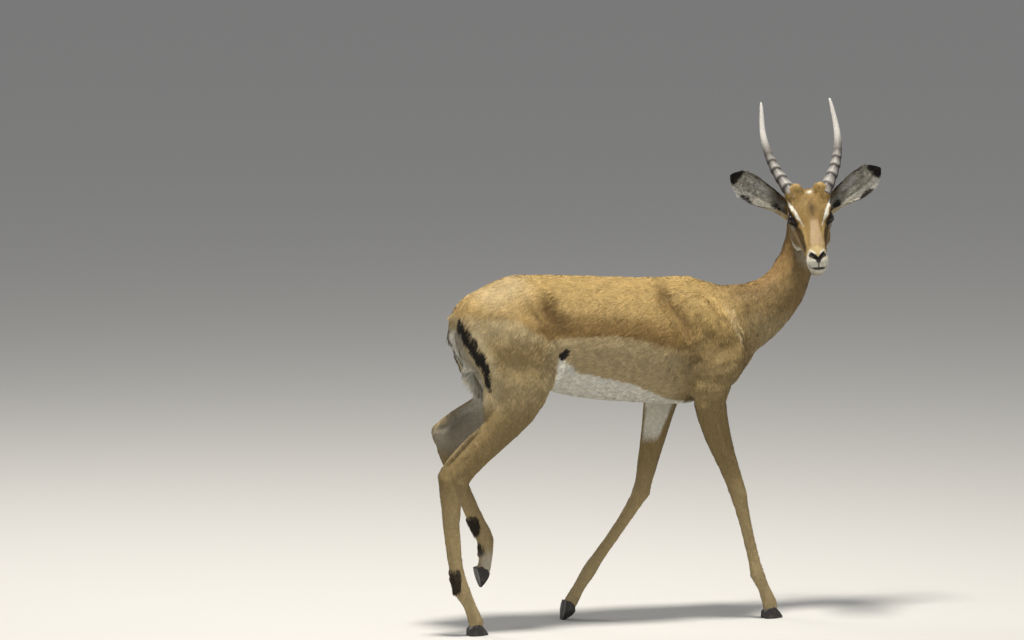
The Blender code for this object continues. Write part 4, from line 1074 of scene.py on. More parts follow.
def buildHorns(settings):
    material = hornMaterial()
    path = curveThrough(settings["path"], settings["steps"])
    count = len(path)
    share = np.arange(count) / (count - 1)
    start = np.array(onHead(*settings["place"]))
    left, level, up = np.array(leftWay), np.array(levelWay), np.array(upWay)
    around = settings["around"]
    for side, half in ((-1, "right"), (1, "left")):
        lean = settings["lean"] * (2 * share ** 3 - share)
        centres = start + np.outer(side * path[:, 0] - lean, left) - np.outer(path[:, 1], level) \
            + np.outer(path[:, 2], up)
        along = unit(np.gradient(centres, axis=0))
        across = unit(np.cross(along, level))
        front = unit(np.cross(across, along))
        angles = np.linspace(0, 2 * math.pi, around, endpoint=False)
        radius = settings["radius"] * (1.0 - share) ** 0.55 + 0.0012
        radius = radius * (0.30 + 0.70 * ramp(share, 0.0, 0.09))
        phase = np.interp(share, settings["grooves"], np.arange(len(settings["grooves"])))
        ringed = ramp(share, 0.015, 0.03) * ramp(settings["grooves"][-1] - share, 0.0, 0.20)
        forward = np.cos(angles)[None, :]
        # each ring swells just over its groove and slopes away above; rings droop at the sides, fade behind
        turn = phase[:, None] + 0.16 * (1 - forward) + 0.05 * np.sin(2 * angles + side)[None, :]
        rise = turn - np.floor(turn)
        swell = ramp(rise, 0.0, 0.22) * (1.0 - ramp(rise, 0.22, 1.0))
        ridge = (swell - 0.45) * (0.0012 + 0.0012 * (1 - share[:, None])) * ringed[:, None] \
            * (0.35 + 0.65 * ramp(forward, -0.9, 0.5))
        flutes = 0.00018 * np.sin(11 * angles)[None, :] * ramp(share, 0.0, 0.1)[:, None]
        wide = radius[:, None] + ridge + flutes
        ring = np.sin(angles)[None, :, None] * across[:, None, :]
        ring = ring + 1.06 * np.cos(angles)[None, :, None] * front[:, None, :]
        points = (centres[:, None, :] + wide[:, :, None] * ring).reshape(-1, 3)
        i, j = np.meshgrid(np.arange(count - 1), np.arange(around), indexing="ij")
        a = i * around + j
        b = i * around + (j + 1) % around
        faces = np.stack([a, b, b + around, a + around], axis=-1).reshape(-1, 4)
        caps = []
        tip = len(points)
        points = np.vstack([points, centres[-1] + along[-1] * 0.0008, centres[0]])
        for k in range(around):
            following = (k + 1) % around
            last = (count - 1) * around
            caps.append((last + k, last + following, tip, tip))
            caps.append((following, k, tip + 1, tip + 1))
        made = meshFromCorners("horn_" + half + "_fine", points, faces, caps)
        frontward = ramp(forward, -0.3, 0.6)
        # painted shade in each ring's groove, and a painted highlight on the front of each ring's swell
        groove = (1.0 - ramp(rise, 0.0, 0.26) + ramp(rise, 0.80, 1.0)) * ringed[:, None]
        pale = swell * ringed[:, None] * frontward
        dark, light, body = [np.array(settings[part]) for part in ("dark", "light", "body")]
        colours = np.tile(body, (count, around, 1))
        # painted shade on each horn's outer side and back, fading out towards the tip
        shaded = ramp(0.80 * side * np.sin(angles)[None, :] - 0.45 * forward, -0.15, 0.45)
        outerShade = 0.92 * shaded * ramp(0.92 - share, 0.0, 0.35)[:, None]
        # pale worn tips, lit at the front by a painted highlight
        wornAndLit = 0.88 * ramp(share, 0.64, 0.86)[:, None] * frontward
        colours = colours + (dark - colours) * outerShade[:, :, None]
        colours = colours + (light - colours) * (0.30 * pale * (1.0 - shaded))[:, :, None]
        colours = colours + (light - colours) * wornAndLit[:, :, None]
        colours = colours * (1.0 - 0.72 * groove)[:, :, None]
        colours = colours * (1.0 - 0.35 * ramp(0.10 - share, 0.0, 0.1))[:, None, None]
        colours = np.vstack([colours.reshape(-1, 3), colours[-1, 0], colours[0, 0]])
        setColours(made, colours, "hornColour")
        made.data.materials.append(material)
        made.data.shade_smooth()
        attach(made, "root")
        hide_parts("horn_" + half)


def meshFromCorners(name, points, quads, caps):
    mesh = bpy.data.meshes.new(name)
    faces = [tuple(face) for face in quads.tolist()] + [cap[:3] for cap in caps]
    mesh.from_pydata([tuple(point) for point in points.tolist()], [], faces)
    mesh.update()
    work = bmesh.new()
    work.from_mesh(mesh)
    bmesh.ops.recalc_face_normals(work, faces=work.faces)
    work.to_mesh(mesh)
    work.free()
    made = bpy.data.objects.new(name, mesh)
    bpy.context.scene.collection.objects.link(made)
    return made


buildHorns(hornSettings)
print("horns made")

# hooves: the claws, rounded and worn

hoofSettings = {"voxel": 0.0011, "rounds": 10, "colour": (0.022, 0.019, 0.017),
                "dust": (0.085, 0.072, 0.058)}


def hoofMaterial(settings):
    material, nodes, links, shader = newMaterial("hoofHorn", {"Roughness": 0.42, "Specular IOR Level": 0.45})
    place, stretched = addStretch(nodes, links, (0.15, 0.15, 1.0))
    growth = addNoise(nodes, links, stretched, 420.0, 3.0)
    wear = addNoise(nodes, links, place, 90.0, 5.0)
    blend = nodes.new("ShaderNodeMix")
    blend.data_type = "RGBA"
    blend.inputs["A"].default_value = (*settings["colour"], 1)
    blend.inputs["B"].default_value = (*settings["dust"], 1)
    dust = nodes.new("ShaderNodeMapRange")
    dust.inputs["From Min"].default_value = 0.50
    dust.inputs["From Max"].default_value = 0.78
    links.new(wear, dust.inputs["Value"])
    links.new(dust.outputs["Result"], blend.inputs["Factor"])
    links.new(blend.outputs["Result"], shader.inputs["Base Color"])
    addBump(nodes, links, shader, growth, 0.6, 0.0004)
    return material


def buildHooves(settings):
    material = hoofMaterial(settings)
    for node in clawNodes:
        made = copyOf(node, node + "_fine", 0.0)
        remesh = made.modifiers.new("Fine", "REMESH")
        remesh.mode = "VOXEL"
        remesh.voxel_size = settings["voxel"]
        applyModifier(made, remesh)
        evenOut(made, settings["rounds"], np.ones(len(made.data.vertices)))
        points = pointsOf(made)
        points[:, 2] = np.maximum(points[:, 2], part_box(node)[0][2])
        putPoints(made, points)
        made.data.materials.append(material)
        made.data.shade_smooth()
        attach(made, "root")
        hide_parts(node)


buildHooves(hoofSettings)
print("hooves made")

# ears: leaf-shaped cups, ridged and pale inside, dark at the tip and the lower edge

earSettings = {"place": (-0.014, -0.066, 0.044), "length": 0.170, "wall": 0.0022, "lift": {-1: 33.0, 1: 30.0},
               # up the ear: share of its length, half width, sag, depth, curl, bow
               "rows": [(-0.12, 0.0200, 0.0090, 0.0150, 0.98, -0.004),
                        (0.00, 0.0200, 0.0075, 0.0160, 0.92, -0.002),
                        (0.12, 0.0205, 0.0050, 0.0170, 0.75, 0.000),
                        (0.25, 0.0235, 0.0030, 0.0190, 0.50, -0.001),
                        (0.40, 0.0290, 0.0035, 0.0190, 0.30, -0.003),
                        (0.58, 0.0335, 0.0030, 0.0160, 0.16, -0.004),
                        (0.75, 0.0320, 0.0015, 0.0120, 0.10, -0.004),
                        (0.88, 0.0245, 0.0000, 0.0075, 0.06, -0.002),
                        (0.96, 0.0135, 0.0000, 0.0040, 0.02, 0.001),
                        (1.00, 0.0030, 0.0000, 0.0012, 0.00, 0.003)],
               "steps": 9, "arc": 41, "twist": 10.0, "shade": 0.9, "inside": (0.36, 0.345, 0.290),
               "back": (0.36, 0.225, 0.090), "rim": (0.045, 0.034, 0.026), "root": (0.095, 0.062, 0.035)}


def earSheet(settings, side):
    root = np.array(onHead(settings["place"][0], settings["place"][1], side * settings["place"][2]))
    lift = math.radians(settings["lift"][side])
    reach = (leftWay * (side * math.cos(lift)) + upWay * math.sin(lift) - levelWay * 0.05).normalized()
    facing = (levelWay - reach * levelWay.dot(reach)).normalized()
    facing = Matrix.Rotation(-side * math.radians(settings["twist"]), 3, reach) @ facing
    across = facing.cross(reach).normalized()
    if across.dot(upWay) < 0:
        across = -across
    reach, facing, across = np.array(reach), np.array(facing), np.array(across)
    rows = curveThrough(settings["rows"], settings["steps"])
    t = np.linspace(-1.0, 1.0, settings["arc"])[None, :]
    share, halfWidth, sag, depth, curl, bow = [column[:, None] for column in rows.T]
    bend = np.radians(62 + 95 * curl)
    sideways = np.sin(t * bend) / np.sin(np.minimum(bend, math.pi / 2))
    inward = (1.0 - np.cos(t * bend)) / (1.0 - np.cos(bend))
    # low ridges of gristle run up the inside, the edges wave a little
    ridges = 0.0010 * np.cos(t * 13.0) * ramp(share, 0.15, 0.35) * ramp(0.92 - share, 0.0, 0.2)
    ridges = ridges * ramp(0.85 - np.abs(t), 0.0, 0.3)
    wave = 0.0012 * np.sin(share * 17.0 + t * 2.0) * np.abs(t) ** 3 * ramp(0.97 - share, 0.0, 0.1)
    points = (root + (settings["length"] * share)[:, :, None] * reach
              + (sideways * halfWidth - sag)[:, :, None] * across
              + (bow + depth * (inward * (0.6 + curl) - 0.75) + ridges + wave)[:, :, None] * facing)
    return points, np.broadcast_to(share, points.shape[:2]), np.broadcast_to(t, points.shape[:2]), facing


def earColours(share, t, inside, places):
    patchy = ripple(places, 0.015, 31)
    fine = ripple(places, 0.006, 32)
    inner = np.array(earSettings["inside"]) * (1.0 + 0.12 * patchy + 0.10 * fine)[:, None]
    # t runs from the lower edge to the upper edge
    lower = ramp(-t, 0.25, 0.75) * ramp(share, 0.35, 0.55)
    inner = mix(inner, (0.50, 0.48, 0.45), lower * 0.75)
    streak = bell(t - 0.40, 0.16) * ramp(share, 0.22, 0.34) * ramp(0.66 - share, 0.0, 0.12)
    inner = mix(inner, (0.56, 0.54, 0.52), streak * 0.85)
    middle = ramp(0.55 - np.abs(t + 0.10), 0.0, 0.3) * ramp(share, 0.45, 0.55) * ramp(0.84 - share, 0.0, 0.08)
    inner = inner * (1.0 - 0.28 * middle * (0.8 + 0.4 * fine))[:, None]
    root = ramp(0.40 - share, 0.0, 0.20) * ramp(t, 0.10, 0.45)
    inner = mix(inner, earSettings["root"], root * 0.85)
    # painted shadow: a black patch for the deep opening of the ear
    openingShadow = np.hypot((share - 0.165) / 0.075, (t + 0.22) / 0.24)
    inner = mix(inner, "black", ramp(1.0 - openingShadow, -0.1, 0.4) * 0.92)
    inner = mix(inner, "grey", ramp(0.13 - share, 0.0, 0.05) * ramp(-t, 0.0, 0.3) * 0.7)
    outer = np.array(earSettings["back"]) * (1.0 + 0.08 * patchy)[:, None]
    outer = mix(outer, "crest", ramp(t, 0.1, 0.8) * 0.6)
    outer = mix(outer, "cream", ramp(-t, 0.3, 0.8) * 0.7)
    colours = np.where(inside[:, None], inner, outer)
    rim = ramp(t, 0.86, 0.95) * ramp(share, 0.16, 0.26)
    colours = mix(colours, earSettings["rim"], rim * 0.9)
    colours = mix(colours, "crest", ramp(t, 0.90, 0.97) * ramp(0.26 - share, 0.0, 0.08) * 0.9)
    lowRim = ramp(-t, 0.90, 0.97) * ramp(share, 0.10, 0.2)
    colours = mix(colours, "white", lowRim * 0.7)
    tip = share + 0.050 * t + 0.010 * fine - 0.050 * t ** 2
    colours = mix(colours, "black", ramp(tip, 0.815, 0.850) * 0.985)
    lowPatch = np.hypot((share - 0.60) / 0.125, (t + 1.00) / 0.42) + 0.05 * fine
    colours = mix(colours, "black", ramp(1.0 - lowPatch, -0.06, 0.10) * 0.97 * ramp(1.02 + t, 0.0, 0.03))
    return np.clip(colours, 0.006, 0.9)


def buildEar(settings, side, half):
    sheet, share, t, facing = earSheet(settings, side)
    count, arc = sheet.shape[:2]
    back = np.gradient(sheet, axis=0)
    wide = np.gradient(sheet, axis=1)
    normal = unit(np.cross(back, wide))
    if (normal.reshape(-1, 3) @ facing).mean() < 0:
        normal = -normal
    thin = settings["wall"] / 2 * (0.35 + 0.65 * ramp(1.0 - np.abs(t), 0.0, 0.25))
    thin = thin * (0.4 + 0.6 * ramp(1.0 - share, 0.0, 0.06))
    inner = sheet + normal * thin[:, :, None]
    outer = sheet - normal * thin[:, :, None]
    points = np.vstack([inner.reshape(-1, 3), outer.reshape(-1, 3)])
    i, j = np.meshgrid(np.arange(count - 1), np.arange(arc - 1), indexing="ij")
    a = (i * arc + j).ravel()
    front = np.stack([a, a + 1, a + arc + 1, a + arc], axis=-1)
    rear = front[:, ::-1] + count * arc
    rims = []
    edge = list(range(arc)) + [k * arc + arc - 1 for k in range(1, count)] \
        + [(count - 1) * arc + k for k in range(arc - 2, -1, -1)] + [k * arc for k in range(count - 2, 0, -1)]
    for k, here in enumerate(edge):
        following = edge[(k + 1) % len(edge)]
        rims.append((following, here, here + count * arc, following + count * arc))
    faces = np.vstack([front, rear, np.array(rims)])
    made = meshFromCorners("ear_" + half + "_fine", points, faces, [])
    inside = np.repeat([True, False], count * arc)
    colours = earColours(np.tile(share.ravel(), 2), np.tile(t.ravel(), 2), inside, toWalk(points))
    setColours(made, colours * settings["shade"])
    made.data.materials.append(skinMaterial)
    made.data.shade_smooth()
    unwrap(made)
    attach(made, "root")
    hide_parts("ear_" + half)
    return {"sheet": sheet, "share": share, "t": t, "normal": normal, "thin": thin}


ears = {side: buildEar(earSettings, side, half) for side, half in ((-1, "right"), (1, "left"))}
print("ears made")

# lie of the coat: guides give a place and the way the hair runs there

bodyLie = [
    ((0.20, -0.02, 0.87), (-1.0, 0.0, -0.10)), ((-0.05, -0.02, 0.87), (-1.0, 0.0, -0.10)),
    ((-0.28, -0.03, 0.87), (-1.0, 0.0, -0.25)), ((-0.38, -0.04, 0.82), (-0.7, 0.0, -0.75)),
    ((0.10, -0.15, 0.78), (-0.9, 0.0, -0.45)), ((-0.06, -0.16, 0.78), (-0.9, 0.0, -0.50)),
    ((-0.06, -0.16, 0.70), (-0.85, 0.0, -0.50)), ((0.08, -0.16, 0.66), (-0.9, 0.0, -0.35)),
    ((0.00, -0.06, 0.58), (-1.0, 0.0, -0.05)), ((0.18, -0.06, 0.54), (-1.0, 0.0, 0.0)),
    ((-0.20, -0.14, 0.79), (-0.6, 0.0, -0.80)), ((-0.28, -0.13, 0.72), (-0.45, 0.0, -0.90)),
    ((-0.22, -0.13, 0.64), (-0.35, 0.0, -0.94)), ((-0.34, -0.09, 0.72), (-0.25, 0.0, -0.97)),
    ((-0.30, -0.10, 0.58), (-0.20, 0.0, -0.98)), ((0.24, -0.12, 0.80), (-0.45, 0.0, -0.90)),
    ((0.30, -0.12, 0.72), (0.10, 0.0, -1.0)), ((0.22, -0.13, 0.66), (-0.5, 0.0, -0.87)),
    ((0.28, -0.10, 0.60), (-0.1, 0.0, -1.0)), ((0.36, -0.06, 0.66), (0.1, 0.0, -1.0)),
    ((0.40, -0.06, 0.78), (-0.2, 0.0, -1.0)), ((0.40, -0.03, 0.86), (-0.8, 0.0, -0.6)),
    ((0.48, -0.06, 0.92), (-0.35, 0.0, -0.94)), ((0.52, -0.05, 0.84), (0.0, 0.0, -1.0)),
    ((0.50, -0.04, 1.00), (-0.4, 0.0, -0.92)), ((0.36, -0.08, 0.40), (0.1, 0.0, -1.0)),
    ((-0.40, -0.08, 0.45), (-0.3, 0.0, -0.95)), ((-0.42, -0.08, 0.2), (0.0, 0.0, -1.0)),
    ((-0.34, -0.08, 0.52), (-0.45, 0.0, -0.9))]
headLie = [
    ((0.21, -0.02, 0.0), (-1.0, 0.2, 0.1)), ((0.16, 0.0, 0.0), (-1.0, 0.0, 0.0)),
    ((0.08, 0.0, 0.0), (-1.0, 0.0, 0.0)),
    ((0.02, 0.0, 0.0), (-1.0, 0.0, 0.0)), ((0.14, -0.04, 0.03), (-1.0, -0.25, 0.1)),
    ((0.08, -0.06, 0.04), (-0.9, -0.45, 0.1)), ((0.03, -0.08, 0.045), (-0.8, -0.6, 0.1)),
    ((0.03, -0.01, 0.03), (-1.0, 0.0, 0.5)), ((0.12, -0.09, 0.0), (-1.0, -0.2, 0.0)),
    ((0.20, -0.05, 0.02), (-0.8, -0.5, 0.2)), ((-0.01, 0.0, 0.036), (-0.7, 0.3, 0.1))]


def blendGuides(points, guides):
    total = np.zeros((len(points), 3))
    for place, way in guides:
        distance = np.linalg.norm(points - np.array(place), axis=1)
        way = np.array(way) / np.linalg.norm(way)
        total += way / (distance[:, None] ** 3 + 1e-5)
    return unit(total)


def hairWay(places, normals):
    walk = toWalk(places)
    flat = mirrored(walk)
    body = blendGuides(flat, bodyLie)
    legShare = legShareOf(walk)[:, None]
    body = unit(body * (1 - legShare) + np.array((0.0, 0.0, -1.0)) * legShare)
    head = toHead(places)
    half = np.sign(head[:, 2])
    face = blendGuides(mirroredHead(head), headLie)
    face[:, 2] *= half
    face = face @ headMatrix
    share = headShareOf(walk)[:, None]
    way = body * (1 - share) + face * share
    way = way - normals * np.sum(way * normals, axis=1)[:, None]
    return unit(way)


# tufts

def skinSurface():
    mesh = skin.data
    mesh.calc_loop_triangles()
    count = len(mesh.loop_triangles)
    corners = np.empty(count * 3, np.int32)
    mesh.loop_triangles.foreach_get("vertices", corners)
    loops = np.empty(count * 3, np.int32)
    mesh.loop_triangles.foreach_get("loops", loops)
    layer = np.empty(len(mesh.loops) * 2, np.float32)
    mesh.uv_layers["OFBake"].data.foreach_get("uv", layer)
    corners = corners.reshape(-1, 3)
    points = pointsOf(skin)[corners]
    normals = normalsOf(skin)[corners]
    area = 0.5 * np.linalg.norm(np.cross(points[:, 1] - points[:, 0], points[:, 2] - points[:, 0]), axis=1)
    uv = layer.reshape(-1, 2)[loops.reshape(-1, 3)].astype(float)
    return {"points": points, "normals": normals, "uv": uv, "area": area, "middle": points.mean(axis=1)}


def scatter(surface, chosen, count, generator):
    weight = surface["area"] * chosen
    faces = generator.choice(len(weight), size=count, p=weight / weight.sum())
    a = np.sqrt(generator.random(count))
    b = generator.random(count)
    shares = np.stack([1 - a, a * (1 - b), a * b], axis=1)[:, :, None]
    return {"place": (surface["points"][faces] * shares).sum(axis=1),
            "normal": unit((surface["normals"][faces] * shares).sum(axis=1)),
            "uv": (surface["uv"][faces] * shares).sum(axis=1)}


def tuftPiece(settings, roots, way, colours, generator):
    count = len(roots["place"])
    normal = roots["normal"]
    swirl = settings["swirl"] * ripple(toWalk(roots["place"]), settings["clump"], 41) \
        + generator.normal(0.0, settings["stray"], count)
    across = unit(np.cross(normal, way))
    way = way * np.cos(swirl)[:, None] + across * np.sin(swirl)[:, None]
    across = unit(np.cross(normal, way))
    roll = generator.normal(0.0, settings["roll"], count)
    wide = across * np.cos(roll)[:, None] + normal * np.sin(roll)[:, None]
    patchy = ripple(toWalk(roots["place"]), settings["clump"] * 0.6, 42)
    size = generator.uniform(0.7, 1.25, count) * (1.0 + 0.15 * patchy)
    length = (settings["length"] * size * roots.get("longer", 1.0))[:, None]
    width = (settings["width"] * generator.uniform(0.75, 1.3, count) * 0.5)[:, None]
    lift = settings["lift"] * generator.uniform(0.6, 1.4, count) * (1.0 + 0.35 * patchy)
    lift = (lift * roots.get("stand", 1.0))[:, None]
    base = roots["place"] - normal * 0.0004
    middle = roots["place"] + way * length * 0.5 + normal * lift * 0.75
    tip = roots["place"] + way * length + normal * (lift * 0.9 - 0.10 * length * settings["droop"])
    points = np.stack([base - wide * width, base + wide * width, middle - wide * width * 0.85,
                       middle + wide * width * 0.85, tip], axis=1)
    first = np.arange(count, dtype=np.int32)[:, None] * 5
    corners = np.array((0, 1, 3, 0, 3, 2, 2, 3, 4))
    faces = (first + corners).reshape(-1, 3)
    made = meshFromArrays(settings["name"], points.reshape(-1, 3), faces)
    tint = generator.normal(1.0, settings["jitter"], count) * (1.0 + settings["patches"] * patchy)
    tint = np.clip(tint, 0.45, 1.7)
    warm = generator.normal(0.0, 0.03, count)
    base = colours * tint[:, None] * np.stack([1 + warm, np.ones(count), 1 - warm], axis=1)
    shades = np.array(settings["shades"])[None, :, None]
    setColours(made, np.clip(base[:, None, :] * shades, 0.004, 0.95).reshape(-1, 3))
    # every tuft's patch sits at its root's place on the unwrapped skin
    reach = 0.0015
    patch = np.array([(-reach, -reach), (reach, -reach), (-reach, 0.0), (reach, 0.0), (0.0, reach)])
    uv = np.clip(roots["uv"][:, None, :] + patch, 0.0, 1.0).reshape(-1, 2)
    layer = made.data.uv_layers.new(name="OFBake")
    layer.data.foreach_set("uv", uv[faces.ravel()].astype(np.float32).ravel())
    made.data.materials.append(tuftMaterial)
    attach(made, "root")
    print(settings["name"], len(faces), "triangles")


# what the pieces of coat share; shades run from the root's two corners to the tip, painted shade at the root
# and painted light at the tip
bodyHair = {"slot": "coat_saddle", "width": 0.0014, "droop": 1.0, "swirl": 0.18, "stray": 0.10,
            "clump": 0.045, "roll": 0.28, "jitter": 0.12, "patches": 0.08,
            "shades": (0.80, 0.80, 0.98, 0.98, 1.16)}
legHair = {**bodyHair, "slot": "coat_legs", "length": 0.0090, "width": 0.0010, "lift": 0.0009, "droop": 0.8,
           "swirl": 0.10, "stray": 0.09, "clump": 0.030, "roll": 0.22, "jitter": 0.11, "patches": 0.06}
coatPieces = [
    {**bodyHair, "name": "furBack", "count": 65000, "seed": 101, "length": 0.0150, "lift": 0.0016,
     "swirl": 0.20, "jitter": 0.13, "patches": 0.10},
    {**bodyHair, "name": "furFlank", "count": 60000, "seed": 107, "length": 0.0145, "lift": 0.0015},
    {**bodyHair, "name": "furRump", "count": 65000, "seed": 102, "length": 0.0140, "lift": 0.0014},
    {**bodyHair, "name": "furNeck", "slot": "coat_neck", "count": 46000, "seed": 103, "length": 0.0135,
     "width": 0.0013, "lift": 0.0014, "swirl": 0.16, "clump": 0.035},
    {**legHair, "name": "furForelegs", "count": 42000, "seed": 104},
    {**legHair, "name": "furHindlegs", "count": 56000, "seed": 105},
    {**bodyHair, "name": "furFace", "slot": "coat_face", "count": 62000, "seed": 106, "length": 0.0050,
     "width": 0.00070, "lift": 0.0006, "droop": 0.8, "stray": 0.14, "clump": 0.016, "roll": 0.22}]


def regionOf(walk):
    # the number of the coat piece that covers each place
    head = headShareOf(walk) > 0.5
    neck = (neckAlong(walk) > 0.0) & ~head
    leg = (legShareOf(walk) > 0.5) & ~neck & ~head
    front = walk[:, 0] > -0.10
    region = np.where(front, np.where(walk[:, 0] > 0.13, 0, 1), 2)
    region = np.where(neck, 3, region)
    region = np.where(leg & front, 4, region)
    region = np.where(leg & ~front, 5, region)
    return np.where(head, 6, region)


def keepOf(places):
    # how thickly the hair grows: none on the eyes, the nose pad, the nostrils or inside the lips
    head = mirroredHead(toHead(places))
    share = headShareOf(toWalk(places))
    keep = np.ones(len(places))
    for side in (-1, 1):
        keep *= ramp(openingOf(places, side)[0], 1.12, 1.35)
    bare = np.minimum(lineDistance(head, nostrilLine) - 0.0042, lineDistance(head, mouthLine) - 0.0016)
    bare = np.minimum(bare, np.linalg.norm(head - np.array((0.2175, -0.0115, 0.0)), axis=1) - 0.0075)
    keep *= 1.0 - share * (1.0 - ramp(bare, 0.0, 0.0010))
    return keep


def buildCoat():
    surface = skinSurface()
    walk = toWalk(surface["middle"])
    region = regionOf(walk)
    keep = keepOf(surface["middle"])
    sole = ramp(walk[:, 2], 0.020, 0.030)
    for number, settings in enumerate(coatPieces):
        generator = np.random.default_rng(settings["seed"])
        chosen = (region == number) * keep
        if settings["slot"] == "coat_legs":
            chosen = chosen * sole
        count = settings["count"] // 1
        roots = scatter(surface, chosen, count, generator)
        way = hairWay(roots["place"], roots["normal"])
        near = toWalk(roots["place"])
        if settings["slot"] == "coat_face":
            head = mirroredHead(toHead(roots["place"]))
            fade = ramp(head[:, 0], 0.03, 0.12)
            seat = bell(np.hypot(head[:, 0] + 0.004, head[:, 2] - 0.030), 0.022)
            roots["longer"] = 1.9 - 1.1 * fade + 0.9 * seat
            roots["stand"] = 1.6 - 0.8 * fade + 2.6 * seat
        elif settings["slot"] == "coat_legs":
            roots["longer"] = 0.75 + 0.45 * ramp(near[:, 2], 0.25, 0.5)
        else:
            roots["longer"] = 1.0 - 0.15 * ramp(-near[:, 2], -0.66, -0.60)
        colours = coatColours(roots["place"], roots["normal"])
        tuftPiece(settings, roots, way, colours, generator)
    return surface


surface = buildCoat()
print("coat made")

# longer hair: tail, brushes over the fetlocks, lashes, ear backs and ear lining

longPieces = [
    {**bodyHair, "name": "furTail", "slot": "coat_tail", "count": 9000, "seed": 201, "length": 0.030,
     "width": 0.0012, "lift": 0.0030, "droop": 0.6, "swirl": 0.10, "stray": 0.12, "clump": 0.030, "roll": 0.5,
     "jitter": 0.14, "patches": 0.05},
    # the brushes' tips are much lighter: a painted grey sheen on the black hair
    {**bodyHair, "name": "furBrushes", "slot": "coat_legs", "count": 4800, "seed": 202, "length": 0.0145,
     "width": 0.0010, "lift": 0.0040, "droop": 0.3, "swirl": 0.10, "stray": 0.14, "clump": 0.020, "roll": 0.6,
     "jitter": 0.25, "patches": 0.05, "shades": (0.9, 0.9, 1.0, 1.0, 1.6)},
    {**bodyHair, "name": "furStripes", "count": 5200, "seed": 203, "length": 0.019, "width": 0.0012,
     "lift": 0.0020, "droop": 0.9, "swirl": 0.12, "stray": 0.16, "clump": 0.020, "roll": 0.4,
     "patches": 0.05}]


def buildLongHair():
    walk = toWalk(surface["middle"])
    _, y, z = walk.T
    tailZone = tailShareOf(walk)
    brushZone = np.zeros(len(walk))
    for brush in brushes:
        away = brushDistance(walk, brush)
        brushZone = np.maximum(brushZone, ramp(brush["reach"] - 0.001 - away, 0.0, 0.004))
    stripe = lineDistance(sidePlane(mirrored(walk)), stripeLine)
    half = np.interp(z, stripeWidth["z"], stripeWidth["half"])
    outward = surface["normals"][:, 0, 1] * np.sign(y) > -0.2
    stripeZone = ramp(half - stripe, -0.001, 0.002) * (np.abs(y) > 0.034) * outward
    for settings, zone in zip(longPieces, (tailZone, brushZone, stripeZone)):
        generator = np.random.default_rng(settings["seed"])
        roots = scatter(surface, zone, settings["count"], generator)
        way = hairWay(roots["place"], roots["normal"])
        colours = coatColours(roots["place"], roots["normal"])
        tuftPiece(settings, roots, way, colours, generator)


earHair = {
    "lining": {**bodyHair, "name": "earLining", "slot": "ear", "count": 9000, "length": 0.012,
               "width": 0.0009, "lift": 0.0026, "droop": 0.2, "swirl": 0.7, "stray": 0.35,
               "clump": 0.014, "roll": 0.5, "jitter": 0.20, "patches": 0.12,
               "shades": (0.75, 0.75, 1.0, 1.0, 1.3)},
    "back": {**bodyHair, "name": "earBack", "slot": "ear", "count": 9000, "length": 0.008, "width": 0.0009,
             "lift": 0.0008, "droop": 0.8, "swirl": 0.15, "stray": 0.12, "clump": 0.020, "roll": 0.3,
             "patches": 0.06}}
lashes = {**bodyHair, "name": "lashes", "slot": "eye", "count": 90, "length": 0.0115, "width": 0.0009,
          "lift": 0.0022, "droop": -0.6, "swirl": 0.0, "clump": 0.02, "roll": 0.4, "jitter": 0.1,
          "patches": 0.0, "shades": (1.0, 1.0, 1.0, 1.0, 1.0)}


def buildEarHair():
    for side, half in ((-1, "Right"), (1, "Left")):
        ear = ears[side]
        sheet = ear["sheet"]
        count, arc = sheet.shape[:2]
        alongEar = unit(np.gradient(sheet, axis=0))
        area = np.linalg.norm(np.cross(np.gradient(sheet, axis=0), np.gradient(sheet, axis=1)), axis=2)
        for part, facing in (("lining", 1.0), ("back", -1.0)):
            settings = {**earHair[part], "name": earHair[part]["name"] + half}
            generator = np.random.default_rng(300 + side + int(facing) * 7)
            share, t = ear["share"], ear["t"]
            chosen = area * ramp(share, 0.04, 0.10)
            if part == "lining":
                chosen = chosen * ramp(share, 0.10, 0.25)
            picked = generator.choice(count * arc, size=settings["count"], p=(chosen / chosen.sum()).ravel())
            row, column = np.divmod(picked, arc)
            drift = generator.uniform(-0.5, 0.5, (2, len(picked)))
            rowTo = np.clip(row + np.sign(drift[0]).astype(int), 0, count - 1)
            columnTo = np.clip(column + np.sign(drift[1]).astype(int), 0, arc - 1)
            here = sheet[row, column]
            place = here + np.abs(drift[0])[:, None] * (sheet[rowTo, column] - here)
            place = place + np.abs(drift[1])[:, None] * (sheet[row, columnTo] - here)
            normal = ear["normal"][row, column] * facing
            place = place + normal * ear["thin"][row, column][:, None]
            way = alongEar[row, column] + 0.25 * generator.normal(size=(len(picked), 1)) * np.array(upWay)
            way = unit(way - normal * np.sum(way * normal, axis=1)[:, None])
            middleUv = np.stack([0.5 + 0.4 * share[row, column] * side, 0.5 + 0.3 * t[row, column]], axis=1)
            roots = {"place": place, "normal": normal, "uv": np.clip(middleUv, 0.01, 0.99)}
            roots["longer"] = np.where(share[row, column] > 0.85, 0.55, 1.0)
            inside = np.full(len(picked), facing > 0)
            colours = earColours(share[row, column], t[row, column], inside, toWalk(place))
            tuftPiece(settings, roots, way, colours * 0.95, generator)


